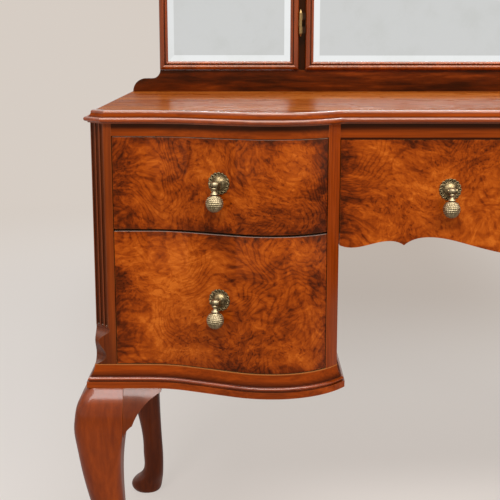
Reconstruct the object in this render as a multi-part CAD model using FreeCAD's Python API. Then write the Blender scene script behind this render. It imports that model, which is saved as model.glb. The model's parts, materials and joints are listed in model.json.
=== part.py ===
"""Kneehole dressing table with a serpentine front, cabriole legs and a triple mirror.

Sizes are in millimetres. X runs to the right, the front faces -Y and Z is up from the floor.
The left half is drawn and then mirrored. In plan, u is the distance inwards from the left side
of the carcase and v is the distance forwards from the flat part of its front.
"""
import FreeCAD
import Part
import math
import os

Vector = FreeCAD.Vector

# Overall
TABLE_WIDTH = 1234.0  # over the lipping of the top
TABLE_HEIGHT = 770.0  # floor to the upper face of the top
CARCASE_DEPTH = 509.0  # flat front to back
LEG_HEIGHT = 374.0
PEDESTAL_WIDTH = 348.0

# Top and its moulded lipping
TOP_THICKNESS = 17.5
TOP_OVERHANG = 9.0  # widest bead of the lipping past the carcase
LIPPING_INSET = 8.0  # width of the lipping inside the carcase line
LIPPING_ROUND = 3.6  # upper rounded edge
LIPPING_SETBACK = 4.5  # carcase line back to the start of the rounded edge
LIPPING_FILLET = 1.0  # flat below the rounded edge
LIPPING_BEAD = 6.0
LIPPING_FOOT = 2.0  # below the bead
LIPPING_FOOT_REACH = 3.6  # past the carcase line
LIPPING_BULGE = 2.4
THROAT_RADIUS = 24.0  # hollow where the bowed front meets the straight centre

# Serpentine front of a pedestal
FRONT_FLAT = 79.0
HOLLOW_RADIUS = 154.0
SWEEP_ANGLE = 21.9  # slope of the straight stretch, in degrees
CROWN_RADIUS = 137.0
BOW = 48.0  # how far the crown stands in front of the flat

# Carcase members
SIDE_THICKNESS = 17.5
POST_WIDTH = 31.0
POST_DEPTH = 40.0
CANT = 20.5
STILE_DEPTH = 25.0
RAIL_HEIGHT = 17.5  # above the pedestal drawers
CENTRE_RAIL_HEIGHT = 21.5
RAIL_DEPTH = 24.0
FLOOR_THICKNESS = 10.5
DUST_BOARD_THICKNESS = 12.0
BACK_THICKNESS = 9.0
BACK_RAIL_HEIGHT = 150.0
BACK_RAIL_THICKNESS = 16.0
RUNNER_WIDTH = 18.0
RUNNER_HEIGHT = 12.0
GUIDE_HEIGHT = 30.0

# Flutes and lamb's-tongue stop of a corner post
FLUTE_RADIUS = 3.1
FLUTE_PITCH = 9.2
FLUTE_COUNT = 3
TONGUE_HEIGHT = 54.5  # from the plinth moulding to the foot of the flutes
TONGUE_CURVE = [  # share of the cant's depth, share of the height from the flutes down
    (1.0, 0.0),
    (1.08, 0.06),
    (0.33, 0.31),
    (0.74, 0.69),
    (0.0, 1.0),
]

# Plinth moulding: a band, a bead and a cove that is laid against the carcase
PLINTH_HEIGHT = 22.0  # legs to the bottom of the carcase
PLINTH_PROJECTION = 11.5
PLINTH_RAIL = 30.0  # width inside the carcase line
PLINTH_BAND = 9.4
PLINTH_STEP = 1.3
PLINTH_BEAD = 4.6
BEAD_BULGE = 1.0
BEAD_SHOULDER = 2.0
COVE_EDGE = 0.8
COVE_MIDDLE = (0.22, 0.42)  # share of the cove's width and height

# Drawers
UPPER_DRAWER_HEIGHT = 129.5
DRAWER_BACK_SPACE = 53.0  # behind a drawer box
FRONT_THICKNESS = 22.0
BOX_SIDE = 10.0
BOX_BOTTOM = 6.0
BOX_BOTTOM_RISE = 5.0
BOX_DROP = 16.0  # top of the front down to the top of the box
FRONT_GAP = 1.0
DRAWER_SPACE = 3.0  # shadow gap between the two drawers of a pedestal
FRONT_LIP = 1.5  # how far an upper front hangs below its runner
RUNNING_GAP = 0.3
DUST_GAP = 2.0

# Centre drawer: its lower edge as shares of the half length and of the rise above the middle drop
CENTRE_FRONT_HEIGHT = 163.3  # at the middle drop
APRON_RISE = 26.0
APRON_WAVE = [
    (0.116, 0.142),
    (0.270, 0.519),
    (0.502, 1.000),
    (0.598, 0.865),
    (0.649, 0.558),
]
APRON_TAIL = [
    (0.680, 0.723),
    (0.741, 0.788),
    (0.826, 0.623),
    (0.911, 0.442),
    (1.000, 0.558),
]

# Pear-drop handles
PLATE_RADIUS = 13.2
PLATE_THICKNESS = 1.6
LOBE_COUNT = 16
LOBE_RADIUS = 2.6
PIERCING_RADIUS = 1.0
DOME_RADIUS = 9.4
DOME_HEIGHT = 4.6
PIVOT_REACH = 16.0  # drawer face to the pin
POST_RADIUS = 2.8
FORK_HALF_WIDTH = 6.6
CHEEK_THICKNESS = 1.4
CHEEK_RADIUS = 3.6
PIN_RADIUS = 1.2
PIN_CLEARANCE = 0.05
EYE_RADIUS = 4.2
EYE_GAP = 0.4
FORK_BRIDGE = 2.0
NECK_RADIUS = 2.6
NECK_LENGTH = 2.0  # straight stretch below the eye
COLLAR_RADIUS = 5.5
COLLAR_DROP = 12.4  # pin down to the collar
COLLAR_THICKNESS = 1.2
BALL_RADIUS = 12.1
BALL_DROP = 25.4  # pin down to the middle of the ball
BALL_FLAT = 3.85  # radius where the ball meets the collar
STUD_RADIUS = 2.4
STUD_CLEARANCE = 0.1
STUD_TAIL = 2.0  # past the nut
NUT_ACROSS = 9.0
NUT_THICKNESS = 3.5
UPPER_HANDLE_RISE = 68.7  # bottom of the front up to the handle
LOWER_HANDLE_RISE = 101.7
CENTRE_HANDLE_DROP = 69.5  # top of the front down to the handles
CENTRE_HANDLE_OFFSET = 106.0

# Cabriole legs: share of the height, outer reach, inner reach, outer and side corner radii
LEG_STATIONS = [
    (1.000, 12.0, -41.0, 13.0, 0.6),
    (0.965, 20.8, -41.0, 16.0, 0.6),
    (0.920, 28.0, -41.0, 18.5, 0.6),
    (0.870, 31.0, -40.9, 20.5, 0.8),
    (0.815, 31.6, -39.9, 22.0, 2.0),
    (0.745, 28.4, -36.8, 22.5, 9.0),
    (0.670, 24.6, -34.9, 22.5, 14.0),
    (0.595, 19.8, -34.9, 22.0, 17.0),
    (0.485, 11.0, -36.5, 21.0, 18.5),
    (0.380, 1.5, -38.5, 19.0, 18.0),
    (0.270, -4.6, -41.0, 17.4, 17.4),
    (0.170, -6.2, -42.5, 17.2, 17.2),
    (0.116, -2.6, -42.0, 19.2, 19.2),
    (0.084, 7.2, -41.0, 23.8, 23.8),
    (0.058, 16.4, -39.5, 27.6, 27.6),
    (0.032, 20.8, -38.0, 28.8, 28.8),
    (0.011, 18.5, -36.0, 26.6, 26.6),
    (0.000, 14.0, -33.0, 22.8, 22.8),
]
REAR_INSET_SIDE = 12.5
REAR_INSET_BACK = 24.0
BRACKET_LENGTH = 54.0
BRACKET_HEIGHT = 70.0
BRACKET_TIP = 4.0
BRACKET_DEPTH = 34.0
BRACKET_JOINT = 0.25  # glue line between a bracket and its leg
BRACKET_SPARE = 0.1  # share of the leg's height that the knee's curve runs on below
BRACKET_CUSP = (0.24, 0.72)  # shares of the bracket's length and height
BRACKET_TIP_BEND = (0.60, 0.275)
BRACKET_ROOT_BEND = (0.09, 0.83)

# Mirror
BOARD_INSET = 18.0  # end of the top to the end of the base board
BOARD_HEIGHT = 38.5  # above the top
BOARD_THICKNESS = 16.0
BOARD_HOUSING = 3.0  # sunk into the top
BOARD_ROUND = 23.5
BOARD_FLAT = 11.6  # between the round and the hollow at each end
CENTRE_WIDTH = 569.0
CENTRE_SIDE_HEIGHT = 636.0
CENTRE_CROWN = 58.0
WING_INNER_HEIGHT = 596.0
WING_OUTER_HEIGHT = 512.0
WING_CROWN = 26.0  # rise of the curve above the slope between its ends
MIRROR_GAP = 12.4  # centre frame to wing
WING_LIFT = 0.6  # wing above the base board
WING_BACK_GAP = 0.4
FRAME_WIDTH = 15.0
FRAME_DEPTH = 24.0
FRAME_LIP = 5.0  # frame in front of the glass edge
LIP_THICKNESS = 8.0
FRAME_BEAD = 4.5  # radius of the wide outer bead
FRAME_STEP = 0.7  # between the two beads
INNER_BEAD = 1.8  # radius of the bead beside the glass
INNER_BEAD_DEPTH = 5.0  # front of the frame back to the inner bead's foot
LIP_EDGE = 1.4
GLASS_THICKNESS = 4.0
GLASS_EDGE = 2.0
GLASS_BEVEL = 15.5
GLASS_GAP = 0.5
MIRROR_BACK_THICKNESS = 4.0
STANDARD_WIDTH = 30.0
STANDARD_DEPTH = 18.0
STANDARD_DROP = 212.5  # top of the carcase down to the foot of a standard
STANDARD_RISE = 501.5  # bottom of the mirrors up to its head
STANDARD_SCREW_DROPS = [177.5, 37.5]  # top of the carcase down to the lower screws
FRAME_SCREW_RISE = 431.5  # bottom of the mirrors up to the screw in the centre frame
FRAME_SCREW_OFFSET = 10.8  # from the middle of the standard
CARCASE_SCREW_OFFSET = 4.5
SCREW_HEAD_RADIUS = 4.2
SCREW_HEAD_HEIGHT = 2.2
SCREW_SHANK_RADIUS = 2.0
SCREW_CLEARANCE = 0.1
SCREW_SLOT_WIDTH = 1.0
SCREW_SLOT_DEPTH = 1.1

# Mirror hinges
HINGE_RISES = [83.5, 461.5]  # bottom of the mirrors up to the middle of each hinge
HINGE_LENGTH = 36.0
KNUCKLE_RADIUS = 2.75
KNUCKLE_GAP = 0.35  # between knuckles, and from a knuckle to the wing
HINGE_PIN_RADIUS = 1.3
FINIAL_HEIGHT = 6.0
FINIAL_TIP = 0.5
LEAF_THICKNESS = 1.5
LEAF_WIDTH = 13.0
LEAF_SETBACK = 3.6  # pin back to the leaf's front edge

# Worked out from the sizes above
HALF_CARCASE = TABLE_WIDTH / 2 - TOP_OVERHANG
FRONT_Y = (BOW + TOP_OVERHANG - CARCASE_DEPTH - STANDARD_DEPTH - SCREW_HEAD_HEIGHT) / 2
BACK_Y = FRONT_Y + CARCASE_DEPTH
KNEEHOLE_HALF = HALF_CARCASE - PEDESTAL_WIDTH
PLINTH_TOP = LEG_HEIGHT + PLINTH_HEIGHT
FLOOR_TOP = PLINTH_TOP + FLOOR_THICKNESS
CARCASE_TOP = TABLE_HEIGHT - TOP_THICKNESS
RAIL_BOTTOM = CARCASE_TOP - RAIL_HEIGHT
CENTRE_RAIL_BOTTOM = CARCASE_TOP - CENTRE_RAIL_HEIGHT
CENTRE_TOP = CENTRE_RAIL_BOTTOM - FRONT_GAP
OPENING_START = POST_WIDTH
OPENING_END = PEDESTAL_WIDTH - SIDE_THICKNESS
UPPER_TOP = RAIL_BOTTOM - FRONT_GAP
UPPER_BOTTOM = UPPER_TOP - UPPER_DRAWER_HEIGHT
LOWER_TOP = UPPER_BOTTOM - DRAWER_SPACE
LOWER_BOTTOM = FLOOR_TOP + FRONT_GAP
DRAWER_LENGTH = CARCASE_DEPTH - BACK_RAIL_THICKNESS - DRAWER_BACK_SPACE
UPPER_HANDLE_HEIGHT = UPPER_BOTTOM + UPPER_HANDLE_RISE
LOWER_HANDLE_HEIGHT = LOWER_BOTTOM + LOWER_HANDLE_RISE
CENTRE_HANDLE_HEIGHT = CENTRE_TOP - CENTRE_HANDLE_DROP
APRON_DROP_HEIGHT = CENTRE_TOP - CENTRE_FRONT_HEIGHT
DUST_TOP = UPPER_BOTTOM + FRONT_LIP
DUST_BOTTOM = DUST_TOP - DUST_BOARD_THICKNESS
BACK_RAIL_BOTTOM = CARCASE_TOP - BACK_RAIL_HEIGHT
RUNNER_TOP = UPPER_BOTTOM + FRONT_LIP
MIRROR_BOTTOM = TABLE_HEIGHT + BOARD_HEIGHT
FRAME_FRONT_Y = BACK_Y - FRAME_DEPTH
BOARD_HALF = TABLE_WIDTH / 2 - BOARD_INSET
BOARD_HOLLOW = BOARD_HEIGHT - BOARD_ROUND
WING_OUTER_X = BOARD_ROUND + BOARD_FLAT + BOARD_HOLLOW - BOARD_HALF
WING_INNER_X = -CENTRE_WIDTH / 2 - MIRROR_GAP
HINGE_X = WING_INNER_X + KNUCKLE_RADIUS + KNUCKLE_GAP
STANDARD_X = -CENTRE_WIDTH / 2 - MIRROR_GAP / 2
STANDARD_FOOT = CARCASE_TOP - STANDARD_DROP
STANDARD_HEAD = MIRROR_BOTTOM + STANDARD_RISE
HINGE_HEIGHTS = [MIRROR_BOTTOM + rise for rise in HINGE_RISES]
CARCASE_SCREWS = [CARCASE_TOP - drop for drop in STANDARD_SCREW_DROPS]
SCREW_PLACES = [(STANDARD_X - CARCASE_SCREW_OFFSET, height) for height in CARCASE_SCREWS]
SCREW_PLACES += [
    (STANDARD_X - CARCASE_SCREW_OFFSET, TABLE_HEIGHT + BOARD_HEIGHT / 2),
    (STANDARD_X + FRAME_SCREW_OFFSET, MIRROR_BOTTOM + FRAME_SCREW_RISE),
]

# How far the middle of a round corner lies inside the corner, as a share of its radius
CUT_PAST = 1.0  # how far a cut runs past the face that it opens
CORNER_SLACK = 1 - math.sqrt(0.5)

# The serpentine: centres of its three arcs in plan
SWEEP = math.radians(SWEEP_ANGLE)
ARC_RISE = (HOLLOW_RADIUS + CROWN_RADIUS) * (1 - math.cos(SWEEP))
STRAIGHT_RUN = (BOW - ARC_RISE) / math.tan(SWEEP)
HOLLOW_CENTRE = (FRONT_FLAT, HOLLOW_RADIUS)
CROWN_U = FRONT_FLAT + (HOLLOW_RADIUS + CROWN_RADIUS) * math.sin(SWEEP) + STRAIGHT_RUN
CROWN_CENTRE = (CROWN_U, BOW - CROWN_RADIUS)
RETURN_RUN = PEDESTAL_WIDTH - CROWN_U
RETURN_RADIUS = (RETURN_RUN**2 + BOW**2) / (2 * BOW)
RETURN_CENTRE = (CROWN_U, BOW - RETURN_RADIUS)


def plan(u, v, z=0.0):
    """A point from its plan distances in the left pedestal."""
    return Vector(u - HALF_CARCASE, FRONT_Y - v, z)


def plan_box(u_range, v_range, z_range):
    """A block between two distances each way."""
    corner = plan(u_range[0], v_range[1], z_range[0])
    size = [high - low for low, high in (u_range, v_range, z_range)]
    return Part.makeBox(*size, corner)


def plan_line(start, end):
    """A straight edge between two plan points."""
    return Part.makeLine(plan(*start), plan(*end))


def on_circle(centre, radius, degrees):
    """The plan point on a circle at an angle from the u direction."""
    turn = math.radians(degrees)
    return centre[0] + radius * math.cos(turn), centre[1] + radius * math.sin(turn)


def plan_arc(centre, radius, start, end):
    """A circular edge between two angles, in degrees."""
    angles = (start, (start + end) / 2, end)
    return Part.Arc(*[plan(*on_circle(centre, radius, a)) for a in angles]).toShape()


def serpentine(offset, end_angle):
    """The curved front at an offset, from the end of its flat to an angle on the last arc."""
    hollow = HOLLOW_RADIUS - offset
    crown = CROWN_RADIUS + offset
    return [
        plan_arc(HOLLOW_CENTRE, hollow, -90, SWEEP_ANGLE - 90),
        plan_line(
            on_circle(HOLLOW_CENTRE, hollow, SWEEP_ANGLE - 90),
            on_circle(CROWN_CENTRE, crown, SWEEP_ANGLE + 90),
        ),
        plan_arc(CROWN_CENTRE, crown, SWEEP_ANGLE + 90, 90),
        plan_arc(RETURN_CENTRE, RETURN_RADIUS + offset, 90, end_angle),
    ]


def behind_front(offset, z_range):
    """Everything behind the front line at an offset, as far as the carcase back."""
    side = RETURN_CENTRE[0] + RETURN_RADIUS + offset
    edges = [plan_line((0, offset), (FRONT_FLAT, offset))]
    edges += serpentine(offset, 0)
    edges += [
        plan_line((side, RETURN_CENTRE[1]), (side, -CARCASE_DEPTH)),
        plan_line((side, -CARCASE_DEPTH), (0, -CARCASE_DEPTH)),
        plan_line((0, -CARCASE_DEPTH), (0, offset)),
    ]
    face = Part.Face(Part.Wire(edges))
    face.translate(Vector(0, 0, z_range[0]))
    return face.extrude(Vector(0, 0, z_range[1] - z_range[0]))


def front_slice(u_range, z_range, back_offset):
    """A piece of the curved front of even thickness."""
    reach = plan_box(u_range, (-CARCASE_DEPTH, BOW + CUT_PAST), z_range)
    return behind_front(0, z_range).cut(behind_front(back_offset, z_range)).common(reach)


def front_at(u):
    """How far forward the front stands at u, and the slope of its face in degrees."""
    if u <= FRONT_FLAT:
        return 0.0, 0.0
    hollow_end = on_circle(HOLLOW_CENTRE, HOLLOW_RADIUS, SWEEP_ANGLE - 90)
    crown_start = on_circle(CROWN_CENTRE, CROWN_RADIUS, SWEEP_ANGLE + 90)
    if u < hollow_end[0]:
        turn = math.asin((u - FRONT_FLAT) / HOLLOW_RADIUS)
        return HOLLOW_RADIUS * (1 - math.cos(turn)), math.degrees(turn)
    if u <= crown_start[0]:
        return hollow_end[1] + (u - hollow_end[0]) * math.tan(SWEEP), SWEEP_ANGLE
    radius = CROWN_RADIUS if u < CROWN_U else RETURN_RADIUS
    turn = math.asin((CROWN_U - u) / radius)
    return BOW - radius * (1 - math.cos(turn)), math.degrees(turn)


def mirrored(shape):
    """The same shape on the right-hand side."""
    return shape.mirror(Vector(0, 0, 0), Vector(1, 0, 0))


def group(shapes):
    """Several solids as one piece."""
    return Part.makeCompound(shapes)


def both(shape):
    """A shape and its mirror image as one piece."""
    return group([shape, mirrored(shape)])


def three_point_arc(start, middle, end):
    """A circular edge through three points."""
    return Part.Arc(start, middle, end).toShape()


def top_edges(offset):
    """The edge of the top at an offset from the carcase line, from back left to back right."""
    corner = offset * (math.sqrt(2) - 1)
    throat_height = THROAT_RADIUS - RETURN_CENTRE[1]
    throat_run = math.sqrt((RETURN_RADIUS + THROAT_RADIUS) ** 2 - throat_height**2)
    throat_centre = (CROWN_U + throat_run, THROAT_RADIUS)
    throat_angle = math.degrees(math.atan2(throat_height, throat_run))
    left = [
        plan_line((-offset, -CARCASE_DEPTH), (-offset, corner - CANT)),
        plan_line((-offset, corner - CANT), (CANT - corner, offset)),
        plan_line((CANT - corner, offset), (FRONT_FLAT, offset)),
    ]
    left += serpentine(offset, throat_angle)
    left.append(plan_arc(throat_centre, THROAT_RADIUS - offset, throat_angle + 180, 270))
    middle = plan_line((throat_centre[0], offset), (2 * HALF_CARCASE - throat_centre[0], offset))
    return left + [middle] + [mirrored(edge) for edge in reversed(left)]


def swept(path_edges, profile_edges):
    """A moulding run along a path with mitred corners."""
    path = Part.Wire(Part.__sortEdges__(path_edges))
    return path.makePipeShell([Part.Wire(profile_edges)], True, False, 1)


def chain(points):
    """Edges through a list of points; a pair in the list is an arc's middle and its end."""
    edges = []
    here = points[0]
    for item in points[1:]:
        if isinstance(item, tuple):
            edges.append(three_point_arc(here, item[0], item[1]))
            here = item[1]
        else:
            edges.append(Part.makeLine(here, item))
            here = item
    return edges


def side_profile(points):
    """A moulding section at the back left, from (distance outwards, height) points."""

    def place(point):
        return plan(-point[0], -CARCASE_DEPTH, point[1])

    placed = [tuple(map(place, p)) if isinstance(p[0], tuple) else place(p) for p in points]
    return chain(placed)


def board_housing():
    """The space along the back of the top that the mirror's base board is let into."""
    return Part.makeBox(
        2 * BOARD_HALF,
        BOARD_THICKNESS,
        BOARD_HOUSING,
        Vector(-BOARD_HALF, BACK_Y - BOARD_THICKNESS, TABLE_HEIGHT - BOARD_HOUSING),
    )


def table_top():
    """The veneered board, let in along the back for the mirror's base board."""
    edges = top_edges(-LIPPING_INSET)
    back = [edge.Vertexes for edge in (edges[0], edges[-1])]
    ends = [v.Point for pair in back for v in pair if abs(v.Point.y - BACK_Y) < 0.01]
    edges.append(Part.makeLine(*ends))
    face = Part.Face(Part.Wire(Part.__sortEdges__(edges)))
    face.translate(Vector(0, 0, CARCASE_TOP))
    board = face.extrude(Vector(0, 0, TOP_THICKNESS))
    return board.cut(board_housing())


def top_lipping():
    """The moulded edge: a small round set back above a hollow and a wider bead."""
    upper = TABLE_HEIGHT
    lower = CARCASE_TOP
    bead = lower + LIPPING_FOOT
    bead_top = bead + LIPPING_BEAD
    shoulder = TOP_OVERHANG - LIPPING_BULGE
    edge = upper - LIPPING_ROUND
    fillet = LIPPING_ROUND - LIPPING_SETBACK
    slack = LIPPING_ROUND * CORNER_SLACK
    hollow_top = edge - LIPPING_FILLET
    hollow = (
        fillet + (shoulder - fillet) * CORNER_SLACK,
        bead_top + (hollow_top - bead_top) * CORNER_SLACK,
    )
    points = [
        (-LIPPING_INSET, lower),
        (-LIPPING_INSET, upper),
        (-LIPPING_SETBACK, upper),
        ((fillet - slack, upper - slack), (fillet, edge)),
        (fillet, hollow_top),
        (hollow, (shoulder, bead_top)),
        ((TOP_OVERHANG, bead + LIPPING_BEAD / 2), (shoulder, bead)),
        (LIPPING_FOOT_REACH, bead),
        (LIPPING_FOOT_REACH, lower),
        (-LIPPING_INSET, lower),
    ]
    return swept(top_edges(0), side_profile(points)).cut(board_housing())


def plinth():
    """The moulding under a pedestal, with a plain rail across its back."""
    bottom = LEG_HEIGHT
    step = bottom + PLINTH_BAND
    bead = step + PLINTH_STEP
    bead_top = bead + PLINTH_BEAD
    reach = PLINTH_PROJECTION - 2 * PLINTH_STEP
    shoulder = reach - BEAD_SHOULDER
    cove = (
        COVE_EDGE + (shoulder - COVE_EDGE) * COVE_MIDDLE[0],
        bead_top + (FLOOR_TOP - bead_top) * COVE_MIDDLE[1],
    )
    points = [
        (-PLINTH_RAIL, bottom),
        (PLINTH_PROJECTION, bottom),
        (PLINTH_PROJECTION, step),
        (reach, step),
        (reach, bead),
        ((reach + BEAD_BULGE, bead + PLINTH_BEAD / 2), (shoulder, bead_top)),
        (cove, (COVE_EDGE, FLOOR_TOP)),
        (0.0, FLOOR_TOP),
        (0.0, PLINTH_TOP),
        (-PLINTH_RAIL, PLINTH_TOP),
        (-PLINTH_RAIL, bottom),
    ]
    end_angle = math.degrees(math.atan2(-RETURN_CENTRE[1], RETURN_RUN))
    path = [plan_line((0, -CARCASE_DEPTH), (0, 0)), plan_line((0, 0), (FRONT_FLAT, 0))]
    path += serpentine(0, end_angle)
    path.append(plan_line((PEDESTAL_WIDTH, 0), (PEDESTAL_WIDTH, -CARCASE_DEPTH)))
    back = plan_box(
        (PLINTH_RAIL, PEDESTAL_WIDTH - PLINTH_RAIL),
        (-CARCASE_DEPTH, PLINTH_RAIL - CARCASE_DEPTH),
        (LEG_HEIGHT, PLINTH_TOP),
    )
    return group([swept(path, side_profile(points)), back])


def diagonal(inwards, along, z):
    """A point from the pedestal's corner, measured in from the cant and along it."""
    half = math.sqrt(0.5)
    return plan((along + inwards) * half, (along - inwards) * half, z)


def corner_post():
    """The front corner: canted, fluted, and stopped at the foot with a carved tongue."""
    post = plan_box((0, POST_WIDTH), (-POST_DEPTH, 0), (PLINTH_TOP, CARCASE_TOP))
    face = CANT * math.sqrt(0.5)
    foot = FLOOR_TOP + TONGUE_HEIGHT
    start = -POST_WIDTH
    tongue = [
        diagonal(face * depth, start, foot - TONGUE_HEIGHT * drop) for depth, drop in TONGUE_CURVE
    ]
    carved = Part.BSplineCurve()
    carved.interpolate(tongue)
    outside = [
        diagonal(-face, start, tongue[-1].z),
        diagonal(-face, start, CARCASE_TOP + CUT_PAST),
        diagonal(face, start, CARCASE_TOP + CUT_PAST),
        tongue[0],
    ]
    rest = Part.makePolygon([tongue[-1]] + outside)
    waste = Part.Face(Part.Wire([carved.toShape()] + rest.Edges))
    post = post.cut(waste.extrude(diagonal(0, POST_WIDTH, 0) - diagonal(0, start, 0)))
    for index in range(FLUTE_COUNT):
        along = (index - (FLUTE_COUNT - 1) / 2) * FLUTE_PITCH
        base = diagonal(face, along, foot + FLUTE_RADIUS)
        flute = Part.makeCylinder(FLUTE_RADIUS, CARCASE_TOP - base.z, base)
        post = post.cut(flute.fuse(Part.makeSphere(FLUTE_RADIUS, base)))
    return post


def inner_stile():
    """The upright at the inner end of the curved front."""
    reach = plan_box(
        (OPENING_END, PEDESTAL_WIDTH), (-STILE_DEPTH, BOW), (PLINTH_TOP, CARCASE_TOP)
    )
    return behind_front(0, (PLINTH_TOP, CARCASE_TOP)).common(reach)


def side_panels():
    """The outer and the inner side of a pedestal."""
    height = (PLINTH_TOP, CARCASE_TOP)
    outer = plan_box((0, SIDE_THICKNESS), (-CARCASE_DEPTH, -POST_DEPTH), height)
    inner = plan_box((OPENING_END, PEDESTAL_WIDTH), (-CARCASE_DEPTH, -STILE_DEPTH), height)
    return outer, inner


def pedestal_shelf(offset, z_range):
    """A board inside a pedestal with a curved front edge, notched round the corner post."""
    reach = plan_box(
        (SIDE_THICKNESS, OPENING_END), (BACK_THICKNESS - CARCASE_DEPTH, BOW), z_range
    )
    notch = plan_box((0, POST_WIDTH), (-POST_DEPTH, BOW), z_range)
    return behind_front(offset, z_range).common(reach).cut(notch)


def pedestal_back():
    """The panel across the back of a pedestal."""
    return plan_box(
        (SIDE_THICKNESS, OPENING_END),
        (-CARCASE_DEPTH, BACK_THICKNESS - CARCASE_DEPTH),
        (PLINTH_TOP, CARCASE_TOP),
    )


def runners():
    """Guides beside the pedestal drawers and a runner for the centre drawer."""
    span = (BACK_THICKNESS - CARCASE_DEPTH, -POST_DEPTH)
    guides = [
        plan_box((SIDE_THICKNESS, POST_WIDTH), span, (seat, seat + GUIDE_HEIGHT))
        for seat in (FLOOR_TOP, DUST_TOP)
    ]
    runner = plan_box(
        (PEDESTAL_WIDTH, PEDESTAL_WIDTH + RUNNER_WIDTH),
        (BACK_RAIL_THICKNESS - CARCASE_DEPTH, -FRONT_THICKNESS - DUST_GAP),
        (RUNNER_TOP - RUNNER_HEIGHT, RUNNER_TOP),
    )
    left = guides + [runner]
    return group(left + [mirrored(piece) for piece in left])


def centre_rail(z_range, v_range):
    """A rail between the pedestals."""
    return plan_box((PEDESTAL_WIDTH, 2 * HALF_CARCASE - PEDESTAL_WIDTH), v_range, z_range)


def leg_section(height, outer, inner, outer_radius, side_radius):
    """One section of a leg: a square with rounded corners, seen from above."""
    corners = [
        ((-outer, -outer), outer_radius),
        ((-inner, -outer), side_radius),
        ((-inner, -inner), side_radius),
        ((-outer, -inner), side_radius),
    ]
    middle = -(outer + inner) / 2
    arcs = []
    for index, ((x, y), radius) in enumerate(corners):
        in_x = radius if x < middle else -radius
        in_y = radius if y < middle else -radius
        near = Vector(x, y + in_y, height)
        far = Vector(x + in_x, y, height)
        bend = Vector(x + in_x * CORNER_SLACK, y + in_y * CORNER_SLACK, height)
        ends = (near, far) if index % 2 == 0 else (far, near)
        arcs.append((ends[0], bend, ends[1]))
    edges = []
    for index, (start, bend, end) in enumerate(arcs):
        edges.append(three_point_arc(start, bend, end))
        edges.append(Part.makeLine(end, arcs[(index + 1) % len(arcs)][0]))
    return Part.Wire(edges)


def cabriole_leg():
    """A leg whose outer faces are measured from the corner of the carcase at the origin."""
    sections = [leg_section(share * LEG_HEIGHT, *sizes) for share, *sizes in LEG_STATIONS]
    return Part.makeLoft(sections, True, False)


def knee_bracket():
    """The ear beside a front leg's knee, shaped to the knee's own curve."""
    stations = [s for s in LEG_STATIONS if s[0] > 1 - BRACKET_HEIGHT / LEG_HEIGHT - BRACKET_SPARE]
    knee = Part.BSplineCurve()
    knee.interpolate([Vector(0, -s[1], s[0] * LEG_HEIGHT) for s in stations])
    low = stations[-1]
    rest = Part.makePolygon(
        [
            Vector(0, -low[1], low[0] * LEG_HEIGHT),
            Vector(0, BRACKET_DEPTH, low[0] * LEG_HEIGHT),
            Vector(0, BRACKET_DEPTH, LEG_HEIGHT),
            Vector(0, -stations[0][1], LEG_HEIGHT),
        ]
    )
    start = BRACKET_JOINT - stations[0][2]
    tip = start + BRACKET_LENGTH
    bulk = Part.Face(Part.Wire([knee.toShape()] + rest.Edges)).extrude(Vector(2 * tip, 0, 0))

    def front(along, drop):
        return Vector(along, -2 * tip, LEG_HEIGHT - drop)

    def bend(shares):
        return front(start + BRACKET_LENGTH * shares[0], BRACKET_HEIGHT * shares[1])

    outline = chain(
        [
            front(start, 0),
            front(tip, 0),
            front(tip, BRACKET_TIP),
            (bend(BRACKET_TIP_BEND), bend(BRACKET_CUSP)),
            (bend(BRACKET_ROOT_BEND), front(start, BRACKET_HEIGHT)),
            front(start, 0),
        ]
    )
    shape = Part.Face(Part.Wire(outline)).extrude(Vector(0, 4 * tip, 0))
    return bulk.common(shape)


def at_front(shape):
    """A corner shape moved to the front left of the carcase."""
    return shape.translated(Vector(-HALF_CARCASE, FRONT_Y, 0))


def at_rear(shape):
    """A corner shape turned to the back and moved to the rear left."""
    turned = shape.mirror(Vector(0, 0, 0), Vector(0, 1, 0))
    return turned.translated(
        Vector(REAR_INSET_SIDE - HALF_CARCASE, BACK_Y - REAR_INSET_BACK, 0)
    )


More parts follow.
